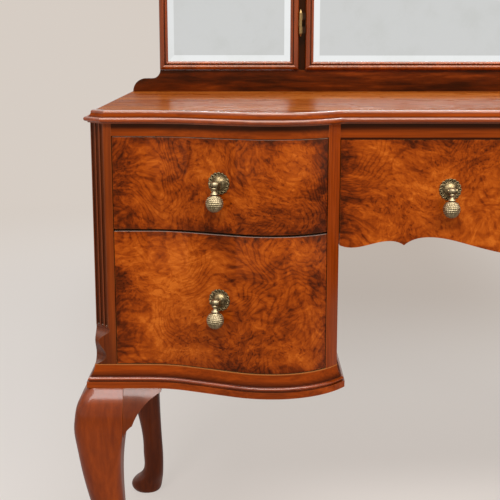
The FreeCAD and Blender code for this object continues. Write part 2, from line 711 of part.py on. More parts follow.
def handle_plate():
    """A pierced rosette with its post, fork, pin and stud, facing -Y from the origin."""
    back = Vector(0, -1, 0)
    plate = Part.makeCylinder(PLATE_RADIUS, PLATE_THICKNESS, Vector(0, 0, 0), back)
    for index in range(LOBE_COUNT):
        turn = 2 * math.pi * index / LOBE_COUNT
        spot = Vector(math.cos(turn), 0, math.sin(turn)) * PLATE_RADIUS
        plate = plate.fuse(Part.makeCylinder(LOBE_RADIUS, PLATE_THICKNESS, spot, back))
    for index in range(LOBE_COUNT):
        turn = 2 * math.pi * index / LOBE_COUNT
        spot = Vector(math.cos(turn), 0, math.sin(turn)) * PLATE_RADIUS
        plate = plate.cut(Part.makeCylinder(PIERCING_RADIUS, PLATE_THICKNESS, spot, back))
    dome_centre = (DOME_RADIUS**2 - DOME_HEIGHT**2) / (2 * DOME_HEIGHT)
    dome = Part.makeSphere(dome_centre + DOME_HEIGHT, Vector(0, dome_centre - PLATE_THICKNESS, 0))
    size = 4 * PLATE_RADIUS
    dome = dome.common(Part.makeBox(size, size, size, Vector(-size / 2, -size, -size / 2)))
    bridge_y = -(PIVOT_REACH - EYE_RADIUS - EYE_GAP - FORK_BRIDGE)
    post = Part.makeCylinder(POST_RADIUS, -bridge_y, Vector(0, 0, 0), back)
    bridge = Part.makeBox(
        2 * FORK_HALF_WIDTH,
        FORK_BRIDGE,
        2 * POST_RADIUS,
        Vector(-FORK_HALF_WIDTH, bridge_y - FORK_BRIDGE, -POST_RADIUS),
    )
    stud_length = FRONT_THICKNESS + NUT_THICKNESS + STUD_TAIL
    stud = Part.makeCylinder(STUD_RADIUS, stud_length, Vector(0, 0, 0), Vector(0, 1, 0))
    pin = Part.makeCylinder(
        PIN_RADIUS,
        2 * FORK_HALF_WIDTH,
        Vector(-FORK_HALF_WIDTH, -PIVOT_REACH, 0),
        Vector(1, 0, 0),
    )
    pieces = [dome, post, bridge, stud, pin]
    for low in (-FORK_HALF_WIDTH, FORK_HALF_WIDTH - CHEEK_THICKNESS):
        start = Vector(low, -PIVOT_REACH, 0)
        pieces.append(Part.makeCylinder(CHEEK_RADIUS, CHEEK_THICKNESS, start, Vector(1, 0, 0)))
        arm = Vector(low, -PIVOT_REACH, -POST_RADIUS)
        length = PIVOT_REACH + bridge_y
        pieces.append(Part.makeBox(CHEEK_THICKNESS, length, 2 * POST_RADIUS, arm))
    return plate.multiFuse(pieces).removeSplitter()


def handle_nut():
    """The nut that holds a handle from inside the drawer."""
    radius = NUT_ACROSS / math.sqrt(3)
    points = [
        Vector(
            radius * math.cos(math.radians(60 * k)),
            FRONT_THICKNESS,
            radius * math.sin(math.radians(60 * k)),
        )
        for k in range(7)
    ]
    nut = Part.Face(Part.makePolygon(points)).extrude(Vector(0, NUT_THICKNESS, 0))
    hole = Part.makeCylinder(
        STUD_RADIUS + PIN_CLEARANCE,
        NUT_THICKNESS,
        Vector(0, FRONT_THICKNESS, 0),
        Vector(0, 1, 0),
    )
    return nut.cut(hole)


def pendant():
    """The drop of a handle: an eye on the pin, a neck, a collar and a ball."""
    half = FORK_HALF_WIDTH - CHEEK_THICKNESS - EYE_GAP
    start = Vector(-half, -PIVOT_REACH, 0)
    eye = Part.makeCylinder(EYE_RADIUS, 2 * half, start, Vector(1, 0, 0))
    ball_top = BALL_DROP - math.sqrt(BALL_RADIUS**2 - BALL_FLAT**2)
    straight = EYE_RADIUS + NECK_LENGTH

    def at(radius, drop):
        return Vector(radius, -PIVOT_REACH, -drop)

    flare = at(
        NECK_RADIUS + (COLLAR_RADIUS - NECK_RADIUS) * CORNER_SLACK,
        COLLAR_DROP - (COLLAR_DROP - straight) * CORNER_SLACK,
    )
    outline = chain(
        [
            at(0, 0),
            at(NECK_RADIUS, 0),
            at(NECK_RADIUS, straight),
            (flare, at(COLLAR_RADIUS, COLLAR_DROP)),
            at(COLLAR_RADIUS, COLLAR_DROP + COLLAR_THICKNESS),
            at(BALL_FLAT, ball_top),
            (at(BALL_RADIUS, BALL_DROP), at(0, BALL_DROP + BALL_RADIUS)),
            at(0, 0),
        ]
    )
    drop = Part.Face(Part.Wire(outline)).revolve(at(0, 0), Vector(0, 0, 1), 360)
    hole = Part.makeCylinder(PIN_RADIUS + PIN_CLEARANCE, 2 * half, start, Vector(1, 0, 0))
    return drop.fuse(eye).cut(hole).removeSplitter()


def stud_bore():
    """The hole for a handle's stud through a drawer front."""
    return Part.makeCylinder(
        STUD_RADIUS + STUD_CLEARANCE, 2 * FRONT_THICKNESS, Vector(0, -CUT_PAST, 0), Vector(0, 1, 0)
    )


def placed(shape, u, z):
    """A handle's shape set square on the curved front at u."""
    v, slope = front_at(u)
    turned = shape.rotated(Vector(0, 0, 0), Vector(0, 0, 1), -slope)
    return turned.translated(plan(u, v, z))


def drawer_box(u_range, seat, top, behind):
    """Two sides, a back and a bottom; the shape behind keeps them clear of the front."""
    low, high = u_range
    bottom = seat + BOX_BOTTOM_RISE
    back = (-DRAWER_LENGTH, BOX_SIDE - DRAWER_LENGTH)
    inside = (low + BOX_SIDE, high - BOX_SIDE)
    pieces = [
        plan_box((low, low + BOX_SIDE), (-DRAWER_LENGTH, BOW), (seat, top)),
        plan_box((high - BOX_SIDE, high), (-DRAWER_LENGTH, BOW), (seat, top)),
        plan_box(inside, back, (seat, top)),
        plan_box(inside, (back[1], BOW), (bottom, bottom + BOX_BOTTOM)),
    ]
    return group([piece.common(behind) for piece in pieces])


def pedestal_drawer(bottom, top, seat, box_top, handle_height):
    """A curved front, its box, its handle and its pendant."""
    span = (OPENING_START + FRONT_GAP, OPENING_END - FRONT_GAP)
    middle = (span[0] + span[1]) / 2
    front = front_slice(span, (bottom, top), -FRONT_THICKNESS)
    front = front.cut(placed(stud_bore(), middle, handle_height))
    box = drawer_box(span, seat, box_top, behind_front(-FRONT_THICKNESS, (seat, box_top)))
    handle = group(
        [placed(handle_plate(), middle, handle_height), placed(handle_nut(), middle, handle_height)]
    )
    return front, box, handle, placed(pendant(), middle, handle_height)


def apron_edge():
    """The shaped lower edge of the centre drawer's front, from the left end to the right."""
    end = KNEEHOLE_HALF - FRONT_GAP

    def at(share, rise):
        return Vector(end * share, FRONT_Y, APRON_DROP_HEIGHT + APRON_RISE * rise)

    left = [at(-share, rise) for share, rise in reversed(APRON_WAVE)]
    wave = Part.BSplineCurve()
    wave.interpolate(left + [at(0, 0)] + [at(*point) for point in APRON_WAVE])
    tail = Part.BSplineCurve()
    tail.interpolate([at(*point) for point in APRON_WAVE[-1:] + APRON_TAIL])
    tail = tail.toShape()
    return [wave.toShape(), tail, mirrored(tail)]


def centre_front():
    """The flat front of the centre drawer with its shaped lower edge."""
    end = KNEEHOLE_HALF - FRONT_GAP
    low = APRON_DROP_HEIGHT + APRON_RISE * APRON_TAIL[-1][1]
    sides = Part.makePolygon(
        [
            Vector(-end, FRONT_Y, low),
            Vector(-end, FRONT_Y, CENTRE_TOP),
            Vector(end, FRONT_Y, CENTRE_TOP),
            Vector(end, FRONT_Y, low),
        ]
    )
    outline = Part.Wire(Part.__sortEdges__(apron_edge() + sides.Edges))
    front = Part.Face(outline).extrude(Vector(0, FRONT_THICKNESS, 0))
    for side in (-1, 1):
        front = front.cut(at_centre(stud_bore(), side))
    return front


def at_centre(shape, side):
    """A handle's shape placed on the centre drawer, left or right of its middle."""
    return shape.translated(Vector(side * CENTRE_HANDLE_OFFSET, FRONT_Y, CENTRE_HANDLE_HEIGHT))


def centre_box():
    """The box of the centre drawer."""
    span = (PEDESTAL_WIDTH + FRONT_GAP, 2 * HALF_CARCASE - PEDESTAL_WIDTH - FRONT_GAP)
    seat = RUNNER_TOP + RUNNING_GAP
    top = CENTRE_TOP - BOX_DROP
    behind = plan_box(
        (0, 2 * HALF_CARCASE), (-CARCASE_DEPTH, -FRONT_THICKNESS), (seat, top)
    )
    return drawer_box(span, seat, top, behind)


class Pane:
    """A framed mirror with a curved top, given its edges, its side heights and its crown."""

    def __init__(self, left, right, bottom, left_height, right_height, crown, back_y):
        self.left = left
        self.right = right
        self.bottom = bottom
        self.back_y = back_y
        self.left_top = Vector(left, back_y, bottom + left_height)
        self.right_top = Vector(right, back_y, bottom + right_height)
        chord = self.right_top - self.left_top
        middle = (self.left_top + self.right_top) * 0.5
        upright = Vector(-chord.z, 0, chord.x).normalize()
        self.radius = (chord.Length**2 / 4 + crown**2) / (2 * crown)
        self.centre = middle + upright * (crown - self.radius)
        self.summit = self.centre + upright * self.radius

    def arc_height(self, x, inset):
        """The height of the curved top at x, at an inset from the outer edge."""
        radius = self.radius - inset
        return self.centre.z + math.sqrt(radius**2 - (x - self.centre.x) ** 2)

    def outline(self, inset, y):
        """The mirror's outline at an inset from the outer edge of its frame."""
        left = self.left + inset
        right = self.right - inset
        low = self.bottom + inset
        middle = (left + right) / 2
        top = [Vector(x, y, self.arc_height(x, inset)) for x in (left, middle, right)]
        edges = chain(
            [
                top[2],
                Vector(right, y, low),
                Vector(left, y, low),
                top[0],
                (top[1], top[2]),
            ]
        )
        return Part.Wire(edges)

    def section(self, origin, inwards):
        """The frame's moulded section at a point of its outer edge."""

        def at(across, depth):
            return origin + inwards * across + Vector(0, -depth, 0)

        rebate = FRAME_WIDTH - FRAME_LIP
        rebate_depth = FRAME_DEPTH - LIP_THICKNESS
        deep = FRAME_DEPTH
        groove = 2 * FRAME_BEAD
        inner = groove + FRAME_STEP
        foot = deep - INNER_BEAD_DEPTH
        points = [
            at(0, 0),
            at(0, deep - FRAME_BEAD),
            (at(FRAME_BEAD, deep), at(groove, deep - FRAME_BEAD)),
            at(groove, foot),
            at(inner, foot),
            (at(inner + INNER_BEAD, foot + INNER_BEAD), at(inner + 2 * INNER_BEAD, foot)),
            at(FRAME_WIDTH, rebate_depth + LIP_EDGE),
            at(FRAME_WIDTH, rebate_depth),
            at(rebate, rebate_depth),
            at(rebate, 0),
            at(0, 0),
        ]
        return Part.Face(Part.Wire(chain(points)))

    def straight_member(self, start, end, inwards):
        """One straight moulding, long enough to be mitred at both ends."""
        along = (end - start).normalize()
        extra = along * (2 * FRAME_WIDTH)
        return self.section(start - extra, inwards).extrude(end - start + extra * 2)

    def curved_member(self):
        """The curved moulding along the top."""
        start = self.left_top - self.centre
        sweep = math.degrees(start.getAngle(self.right_top - self.centre))
        extra = math.degrees(2 * FRAME_WIDTH / self.radius)
        turn = FreeCAD.Rotation(Vector(0, 1, 0), -extra)
        first = turn.multVec(start)
        origin = self.centre + first
        inwards = (first * -1).normalize()
        member = self.section(origin, inwards).revolve(
            self.centre, Vector(0, 1, 0), sweep + 2 * extra
        )
        return member.toNurbs()

    def frame(self):
        """Four mouldings mitred at the corners."""
        low_left = Vector(self.left, self.back_y, self.bottom)
        low_right = Vector(self.right, self.back_y, self.bottom)
        right = Vector(1, 0, 0)
        up = Vector(0, 0, 1)
        down = up * -1
        left = right * -1
        start = self.left_top - self.centre
        end = self.right_top - self.centre
        start_tangent = Vector(start.z, 0, -start.x).normalize()
        end_tangent = Vector(-end.z, 0, end.x).normalize()
        cuts = [
            (low_left, right, up),
            (low_right, up, left),
            (self.right_top, end_tangent, down),
            (self.left_top, down, start_tangent),
        ]
        bottom = self.straight_member(low_left, low_right, up)
        right_side = self.straight_member(low_right, self.right_top, left)
        left_side = self.straight_member(low_left, self.left_top, right)
        return group(
            [
                mitred(bottom, cuts[0], mitre_swap(cuts[1])),
                mitred(right_side, cuts[1], mitre_swap(cuts[2])),
                mitred(self.curved_member(), cuts[2], mitre_swap(cuts[3])),
                mitred(left_side, cuts[3], mitre_swap(cuts[0])),
            ]
        )

    def glass(self):
        """The plate with its bevelled margin."""
        inset = FRAME_WIDTH - FRAME_LIP + GLASS_GAP
        front = self.back_y - FRAME_DEPTH + LIP_THICKNESS
        edge = front + GLASS_THICKNESS - GLASS_EDGE
        rim = self.outline(inset, edge)
        plate = Part.Face(rim).extrude(Vector(0, GLASS_EDGE, 0))
        bevel = Part.makeLoft([rim, self.outline(inset + GLASS_BEVEL, front)], True, True)
        return plate.fuse(bevel).removeSplitter()

    def back(self):
        """The thin board behind the glass."""
        inset = FRAME_WIDTH - FRAME_LIP + GLASS_GAP
        front = self.back_y - FRAME_DEPTH + LIP_THICKNESS + GLASS_THICKNESS
        return Part.Face(self.outline(inset, front)).extrude(Vector(0, MIRROR_BACK_THICKNESS, 0))


def mitre_swap(cut):
    """The same mitre seen from the other moulding."""
    corner, first, second = cut
    return corner, second, first


def mitred(shape, *cuts):
    """A moulding trimmed at its corners; each cut is a corner, its own and the other direction."""
    size = 4 * TABLE_WIDTH
    for corner, own, other in cuts:
        bisector = (own + other).normalize()
        normal = (own - bisector * own.dot(bisector)).normalize()
        keep = Part.makeBox(size, size, size, Vector(-size / 2, -size / 2, 0))
        turn = FreeCAD.Rotation(Vector(0, 0, 1), normal)
        keep.Placement = FreeCAD.Placement(corner, turn).multiply(keep.Placement)
        shape = shape.common(keep)
    return shape


def centre_pane():
    """The fixed middle mirror."""
    half = CENTRE_WIDTH / 2
    return Pane(
        -half, half, MIRROR_BOTTOM, CENTRE_SIDE_HEIGHT, CENTRE_SIDE_HEIGHT, CENTRE_CROWN, BACK_Y
    )


def wing_pane():
    """The left wing mirror, a little clear of the board below and the standard behind."""
    return Pane(
        WING_OUTER_X,
        WING_INNER_X,
        MIRROR_BOTTOM + WING_LIFT,
        WING_OUTER_HEIGHT,
        WING_INNER_HEIGHT,
        WING_CROWN,
        BACK_Y - WING_BACK_GAP,
    )


def base_board():
    """The board the mirrors stand on, with a round and a hollow at each end."""
    half = BOARD_HALF
    hollow = BOARD_HOLLOW
    shoulder = WING_OUTER_X

    def at(x, height):
        return Vector(x, BACK_Y, TABLE_HEIGHT + height)

    left = chain(
        [
            at(-half, -BOARD_HOUSING),
            at(-half, 0),
            (
                at(BOARD_ROUND * CORNER_SLACK - half, BOARD_ROUND * (1 - CORNER_SLACK)),
                at(BOARD_ROUND - half, BOARD_ROUND),
            ),
            at(shoulder - hollow, BOARD_ROUND),
            (
                at(shoulder - hollow * CORNER_SLACK, BOARD_ROUND + hollow * CORNER_SLACK),
                at(shoulder, BOARD_HEIGHT),
            ),
        ]
    )
    top = Part.makeLine(at(shoulder, BOARD_HEIGHT), at(-shoulder, BOARD_HEIGHT))
    bottom = Part.makeLine(at(-half, -BOARD_HOUSING), at(half, -BOARD_HOUSING))
    edges = left + [top, bottom] + [mirrored(edge) for edge in left]
    outline = Part.Wire(Part.__sortEdges__(edges))
    return Part.Face(outline).extrude(Vector(0, -BOARD_THICKNESS, 0))


def standard():
    """An upright behind a mirror joint, bored for its screws."""
    corner = Vector(STANDARD_X - STANDARD_WIDTH / 2, BACK_Y, STANDARD_FOOT)
    height = STANDARD_HEAD - STANDARD_FOOT
    post = Part.makeBox(STANDARD_WIDTH, STANDARD_DEPTH, height, corner)
    for x, screw_height in SCREW_PLACES:
        base = Vector(x, BACK_Y, screw_height)
        radius = SCREW_SHANK_RADIUS + SCREW_CLEARANCE
        post = post.cut(Part.makeCylinder(radius, STANDARD_DEPTH, base, Vector(0, 1, 0)))
    return post


def standard_screws():
    """Round-headed screws through a standard, each with a slot."""
    screws = []
    for x, height in SCREW_PLACES:
        base = Vector(x, BACK_Y, height)
        face = base + Vector(0, STANDARD_DEPTH, 0)
        shank = Part.makeCylinder(SCREW_SHANK_RADIUS, STANDARD_DEPTH, base, Vector(0, 1, 0))
        rise = (SCREW_HEAD_RADIUS**2 - SCREW_HEAD_HEIGHT**2) / (2 * SCREW_HEAD_HEIGHT)
        ball = Part.makeSphere(rise + SCREW_HEAD_HEIGHT, face - Vector(0, rise, 0))
        size = 4 * SCREW_HEAD_RADIUS
        outside = Part.makeBox(size, size, size, face - Vector(size / 2, 0, size / 2))
        depth = SCREW_HEAD_HEIGHT - SCREW_SLOT_DEPTH
        slot_corner = face + Vector(-size / 2, depth, -SCREW_SLOT_WIDTH / 2)
        slot = Part.makeBox(size, size, SCREW_SLOT_WIDTH, slot_corner)
        screws.append(ball.common(outside).cut(slot).fuse(shank))
    return screws


def knuckle(low, high):
    """A hinge knuckle between two heights."""
    return Part.makeCylinder(KNUCKLE_RADIUS, high - low, Vector(HINGE_X, FRAME_FRONT_Y, low))


def hinge_thirds(middle):
    """The heights that part a hinge's three knuckles."""
    low = middle - HINGE_LENGTH / 2
    return [low + HINGE_LENGTH * k / 3 for k in range(4)]


def fixed_leaf(middle):
    """The half of a hinge on the centre frame, with the pin and its pointed ends."""
    rise = hinge_thirds(middle)
    edge = -CENTRE_WIDTH / 2
    back = FRAME_FRONT_Y + LEAF_SETBACK
    leaf = Part.makeBox(
        LEAF_THICKNESS, LEAF_WIDTH, HINGE_LENGTH, Vector(edge - LEAF_THICKNESS, back, rise[0])
    )
    base = Vector(HINGE_X, FRAME_FRONT_Y, rise[0])
    pin = Part.makeCylinder(HINGE_PIN_RADIUS, HINGE_LENGTH, base)
    crown = base + Vector(0, 0, HINGE_LENGTH)
    finials = [
        Part.makeCone(KNUCKLE_RADIUS, FINIAL_TIP, FINIAL_HEIGHT, crown),
        Part.makeCone(KNUCKLE_RADIUS, FINIAL_TIP, FINIAL_HEIGHT, base, Vector(0, 0, -1)),
    ]
    pieces = [pin] + finials
    for low, high in ((rise[0], rise[1]), (rise[2], rise[3])):
        pieces.append(knuckle(low, high))
        reach = edge - HINGE_X
        web = Part.makeBox(
            reach, LEAF_THICKNESS, high - low, Vector(HINGE_X, FRAME_FRONT_Y, low)
        )
        step = Part.makeBox(
            LEAF_THICKNESS,
            LEAF_SETBACK,
            high - low,
            Vector(edge - LEAF_THICKNESS, FRAME_FRONT_Y, low),
        )
        pieces += [web, step]
    return leaf.multiFuse(pieces).removeSplitter()


def moving_leaf(middle):
    """The half of a hinge on the wing, running on the pin."""
    rise = hinge_thirds(middle)
    low = rise[1] + KNUCKLE_GAP
    high = rise[2] - KNUCKLE_GAP
    back = FRAME_FRONT_Y + LEAF_SETBACK
    leaf = Part.makeBox(
        LEAF_THICKNESS, LEAF_WIDTH, HINGE_LENGTH, Vector(WING_INNER_X, back, rise[0])
    )
    web = Part.makeBox(
        LEAF_THICKNESS, LEAF_SETBACK, high - low, Vector(WING_INNER_X, FRAME_FRONT_Y, low)
    )
    hole = Part.makeCylinder(
        HINGE_PIN_RADIUS + PIN_CLEARANCE, HINGE_LENGTH, Vector(HINGE_X, FRAME_FRONT_Y, rise[0])
    )
    return leaf.multiFuse([web, knuckle(low, high)]).cut(hole).removeSplitter()


def carcase_parts():
    """The top, the two pedestals and what joins them."""
    outer, inner = side_panels()
    post = corner_post()
    stile = inner_stile()
    rail = front_slice((OPENING_START, OPENING_END), (RAIL_BOTTOM, CARCASE_TOP), -RAIL_DEPTH)
    base = plinth()
    dust = pedestal_shelf(-FRONT_THICKNESS - DUST_GAP, (DUST_BOTTOM, DUST_TOP))
    back_rail = (-CARCASE_DEPTH, BACK_RAIL_THICKNESS - CARCASE_DEPTH)
    return {
        "table_top": table_top(),
        "top_lipping": top_lipping(),
        "left_outer_side": outer,
        "right_outer_side": mirrored(outer),
        "left_inner_side": inner,
        "right_inner_side": mirrored(inner),
        "left_corner_post": post,
        "right_corner_post": mirrored(post),
        "left_inner_stile": stile,
        "right_inner_stile": mirrored(stile),
        "pedestal_top_rails": both(rail),
        "pedestal_floors": both(pedestal_shelf(0, (PLINTH_TOP, FLOOR_TOP))),
        "dust_boards": both(dust),
        "pedestal_backs": both(pedestal_back()),
        "left_plinth": base,
        "right_plinth": mirrored(base),
        "drawer_runners": runners(),
        "centre_top_rail": centre_rail((CENTRE_RAIL_BOTTOM, CARCASE_TOP), (-2 * RAIL_DEPTH, 0)),
        "centre_back_rail": centre_rail((BACK_RAIL_BOTTOM, CARCASE_TOP), back_rail),
    }


def leg_parts():
    """Four legs and their brackets."""
    leg = cabriole_leg()
    bracket = knee_bracket()
    brackets = [bracket, bracket.mirror(Vector(0, 0, 0), Vector(1, -1, 0))]
    front = at_front(leg)
    rear = at_rear(leg)
    ears = [at_front(b) for b in brackets] + [at_rear(b) for b in brackets]
    return {
        "front_left_leg": front,
        "front_right_leg": mirrored(front),
        "rear_left_leg": rear,
        "rear_right_leg": mirrored(rear),
        "knee_brackets": group(ears + [mirrored(ear) for ear in ears]),
    }


def drawer_parts():
    """Five drawers, each with its front, box, handles and pendants."""
    upper_seat = DUST_TOP + RUNNING_GAP
    lower_seat = FLOOR_TOP + RUNNING_GAP
    sizes = {
        "upper": (UPPER_BOTTOM, UPPER_TOP, upper_seat, UPPER_TOP - BOX_DROP, UPPER_HANDLE_HEIGHT),
        "lower": (LOWER_BOTTOM, LOWER_TOP, lower_seat, LOWER_TOP - BOX_DROP, LOWER_HANDLE_HEIGHT),
    }
    parts = {}
    for level, size in sizes.items():
        kinds = ("drawer_front", "drawer_box", "handle", "pendant")
        for kind, shape in zip(kinds, pedestal_drawer(*size)):
            parts[f"left_{level}_{kind}"] = shape
            parts[f"right_{level}_{kind}"] = mirrored(shape)
    handles = [at_centre(shape, side) for side in (-1, 1) for shape in (handle_plate(), handle_nut())]
    parts["centre_drawer_front"] = centre_front()
    parts["centre_drawer_box"] = centre_box()
    parts["centre_handles"] = group(handles)
    parts["centre_left_pendant"] = at_centre(pendant(), -1)
    parts["centre_right_pendant"] = at_centre(pendant(), 1)
    return parts


def mirror_parts():
    """The base board, the standards and the three mirrors with their hinges."""
    centre = centre_pane()
    wing = wing_pane()
    wing_pieces = {
        "frame": wing.frame(),
        "glass": wing.glass(),
        "back": wing.back(),
        "hinges": group([moving_leaf(height) for height in HINGE_HEIGHTS]),
    }
    parts = {
        "mirror_base_board": base_board(),
        "mirror_standards": both(standard()),
        "standard_screws": both(group(standard_screws())),
        "centre_mirror_frame": centre.frame(),
        "centre_mirror_glass": centre.glass(),
        "centre_mirror_back": centre.back(),
        "fixed_hinge_leaves": both(group([fixed_leaf(height) for height in HINGE_HEIGHTS])),
    }
    for kind, shape in wing_pieces.items():
        parts[f"left_wing_{kind}"] = shape
        parts[f"right_wing_{kind}"] = mirrored(shape)
    return parts


def main():
    """Write every piece to its own file."""
    os.makedirs("parts", exist_ok=True)
    parts = {**carcase_parts(), **leg_parts(), **drawer_parts(), **mirror_parts()}
    for name, shape in parts.items():
        shape.exportStep(f"parts/{name}.step")


main()
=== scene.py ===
"""Looks of a kneehole dressing table: its veneers, timbers, brass, mirrors, light and camera.

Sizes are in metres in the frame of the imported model: X to the right, Y to the back, Z up.
Every finish works from a piece's own coordinates at rest, so it stays put when the piece moves.
"""
from __future__ import annotations

import json
import logging
import math
from dataclasses import astuple, dataclass, field, replace
from enum import Enum
from functools import partial, reduce
from typing import Iterable, Sequence

import bmesh
import bpy
import numpy as np
from mathutils import Matrix, Vector

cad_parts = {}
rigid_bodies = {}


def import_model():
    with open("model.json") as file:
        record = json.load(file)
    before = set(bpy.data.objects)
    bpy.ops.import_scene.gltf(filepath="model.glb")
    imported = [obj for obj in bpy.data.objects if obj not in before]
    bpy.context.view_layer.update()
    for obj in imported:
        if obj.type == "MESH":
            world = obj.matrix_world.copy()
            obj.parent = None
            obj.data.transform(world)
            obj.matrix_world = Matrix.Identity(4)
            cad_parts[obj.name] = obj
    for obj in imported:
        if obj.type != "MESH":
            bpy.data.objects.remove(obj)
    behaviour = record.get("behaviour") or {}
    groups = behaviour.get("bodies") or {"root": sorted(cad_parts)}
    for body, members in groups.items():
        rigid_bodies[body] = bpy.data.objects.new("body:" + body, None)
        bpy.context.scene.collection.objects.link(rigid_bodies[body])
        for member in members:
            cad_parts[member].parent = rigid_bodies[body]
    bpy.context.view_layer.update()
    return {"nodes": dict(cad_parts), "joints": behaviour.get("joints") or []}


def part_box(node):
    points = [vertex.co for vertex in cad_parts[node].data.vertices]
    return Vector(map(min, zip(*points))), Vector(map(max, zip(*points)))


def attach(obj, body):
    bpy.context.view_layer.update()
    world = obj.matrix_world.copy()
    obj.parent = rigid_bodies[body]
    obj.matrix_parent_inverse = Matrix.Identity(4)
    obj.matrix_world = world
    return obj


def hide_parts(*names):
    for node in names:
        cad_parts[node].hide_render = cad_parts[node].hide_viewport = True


LOG = logging.getLogger("dressing_table")
PENDANT_SWING = "_drop_swing"
Triple = tuple[float, float, float]
Colour = Triple
Span = tuple[float, float]
Stops = Sequence[tuple[float, Colour]]
Socket = bpy.types.NodeSocket
Nodes = dict[str, bpy.types.Object]
WHITE: Colour = (1.0, 1.0, 1.0)
CLOUD_MIDDLE = 0.5
MID_TONES: Span = (0.3, 0.7)


class Axis(Enum):
    """The direction that a piece's grain runs in."""

    X = 0
    Y = 1
    Z = 2


class Side(Enum):
    """The two sides of the table, as seen from the front."""

    LEFT = "left"
    RIGHT = "right"


class Level(Enum):
    """The two drawers of a pedestal."""

    UPPER = "upper"
    LOWER = "lower"


def both(kind: str) -> list[str]:
    """The names of a piece on the left and on the right."""
    return [f"{side.value}_{kind}" for side in Side]


def drawer_stems() -> list[str]:
    """The names of the four pedestal drawers and the centre one."""
    return [f"{side.value}_{level.value}" for side in Side for level in Level] + ["centre"]


@dataclass(frozen=True)
class Cloud:
    """A cloud texture: clouds to a metre, finer layers, their weight, and the distortion."""

    scale: float
    detail: float = 2.0
    rough: float = 0.5
    bend: float = 0.0


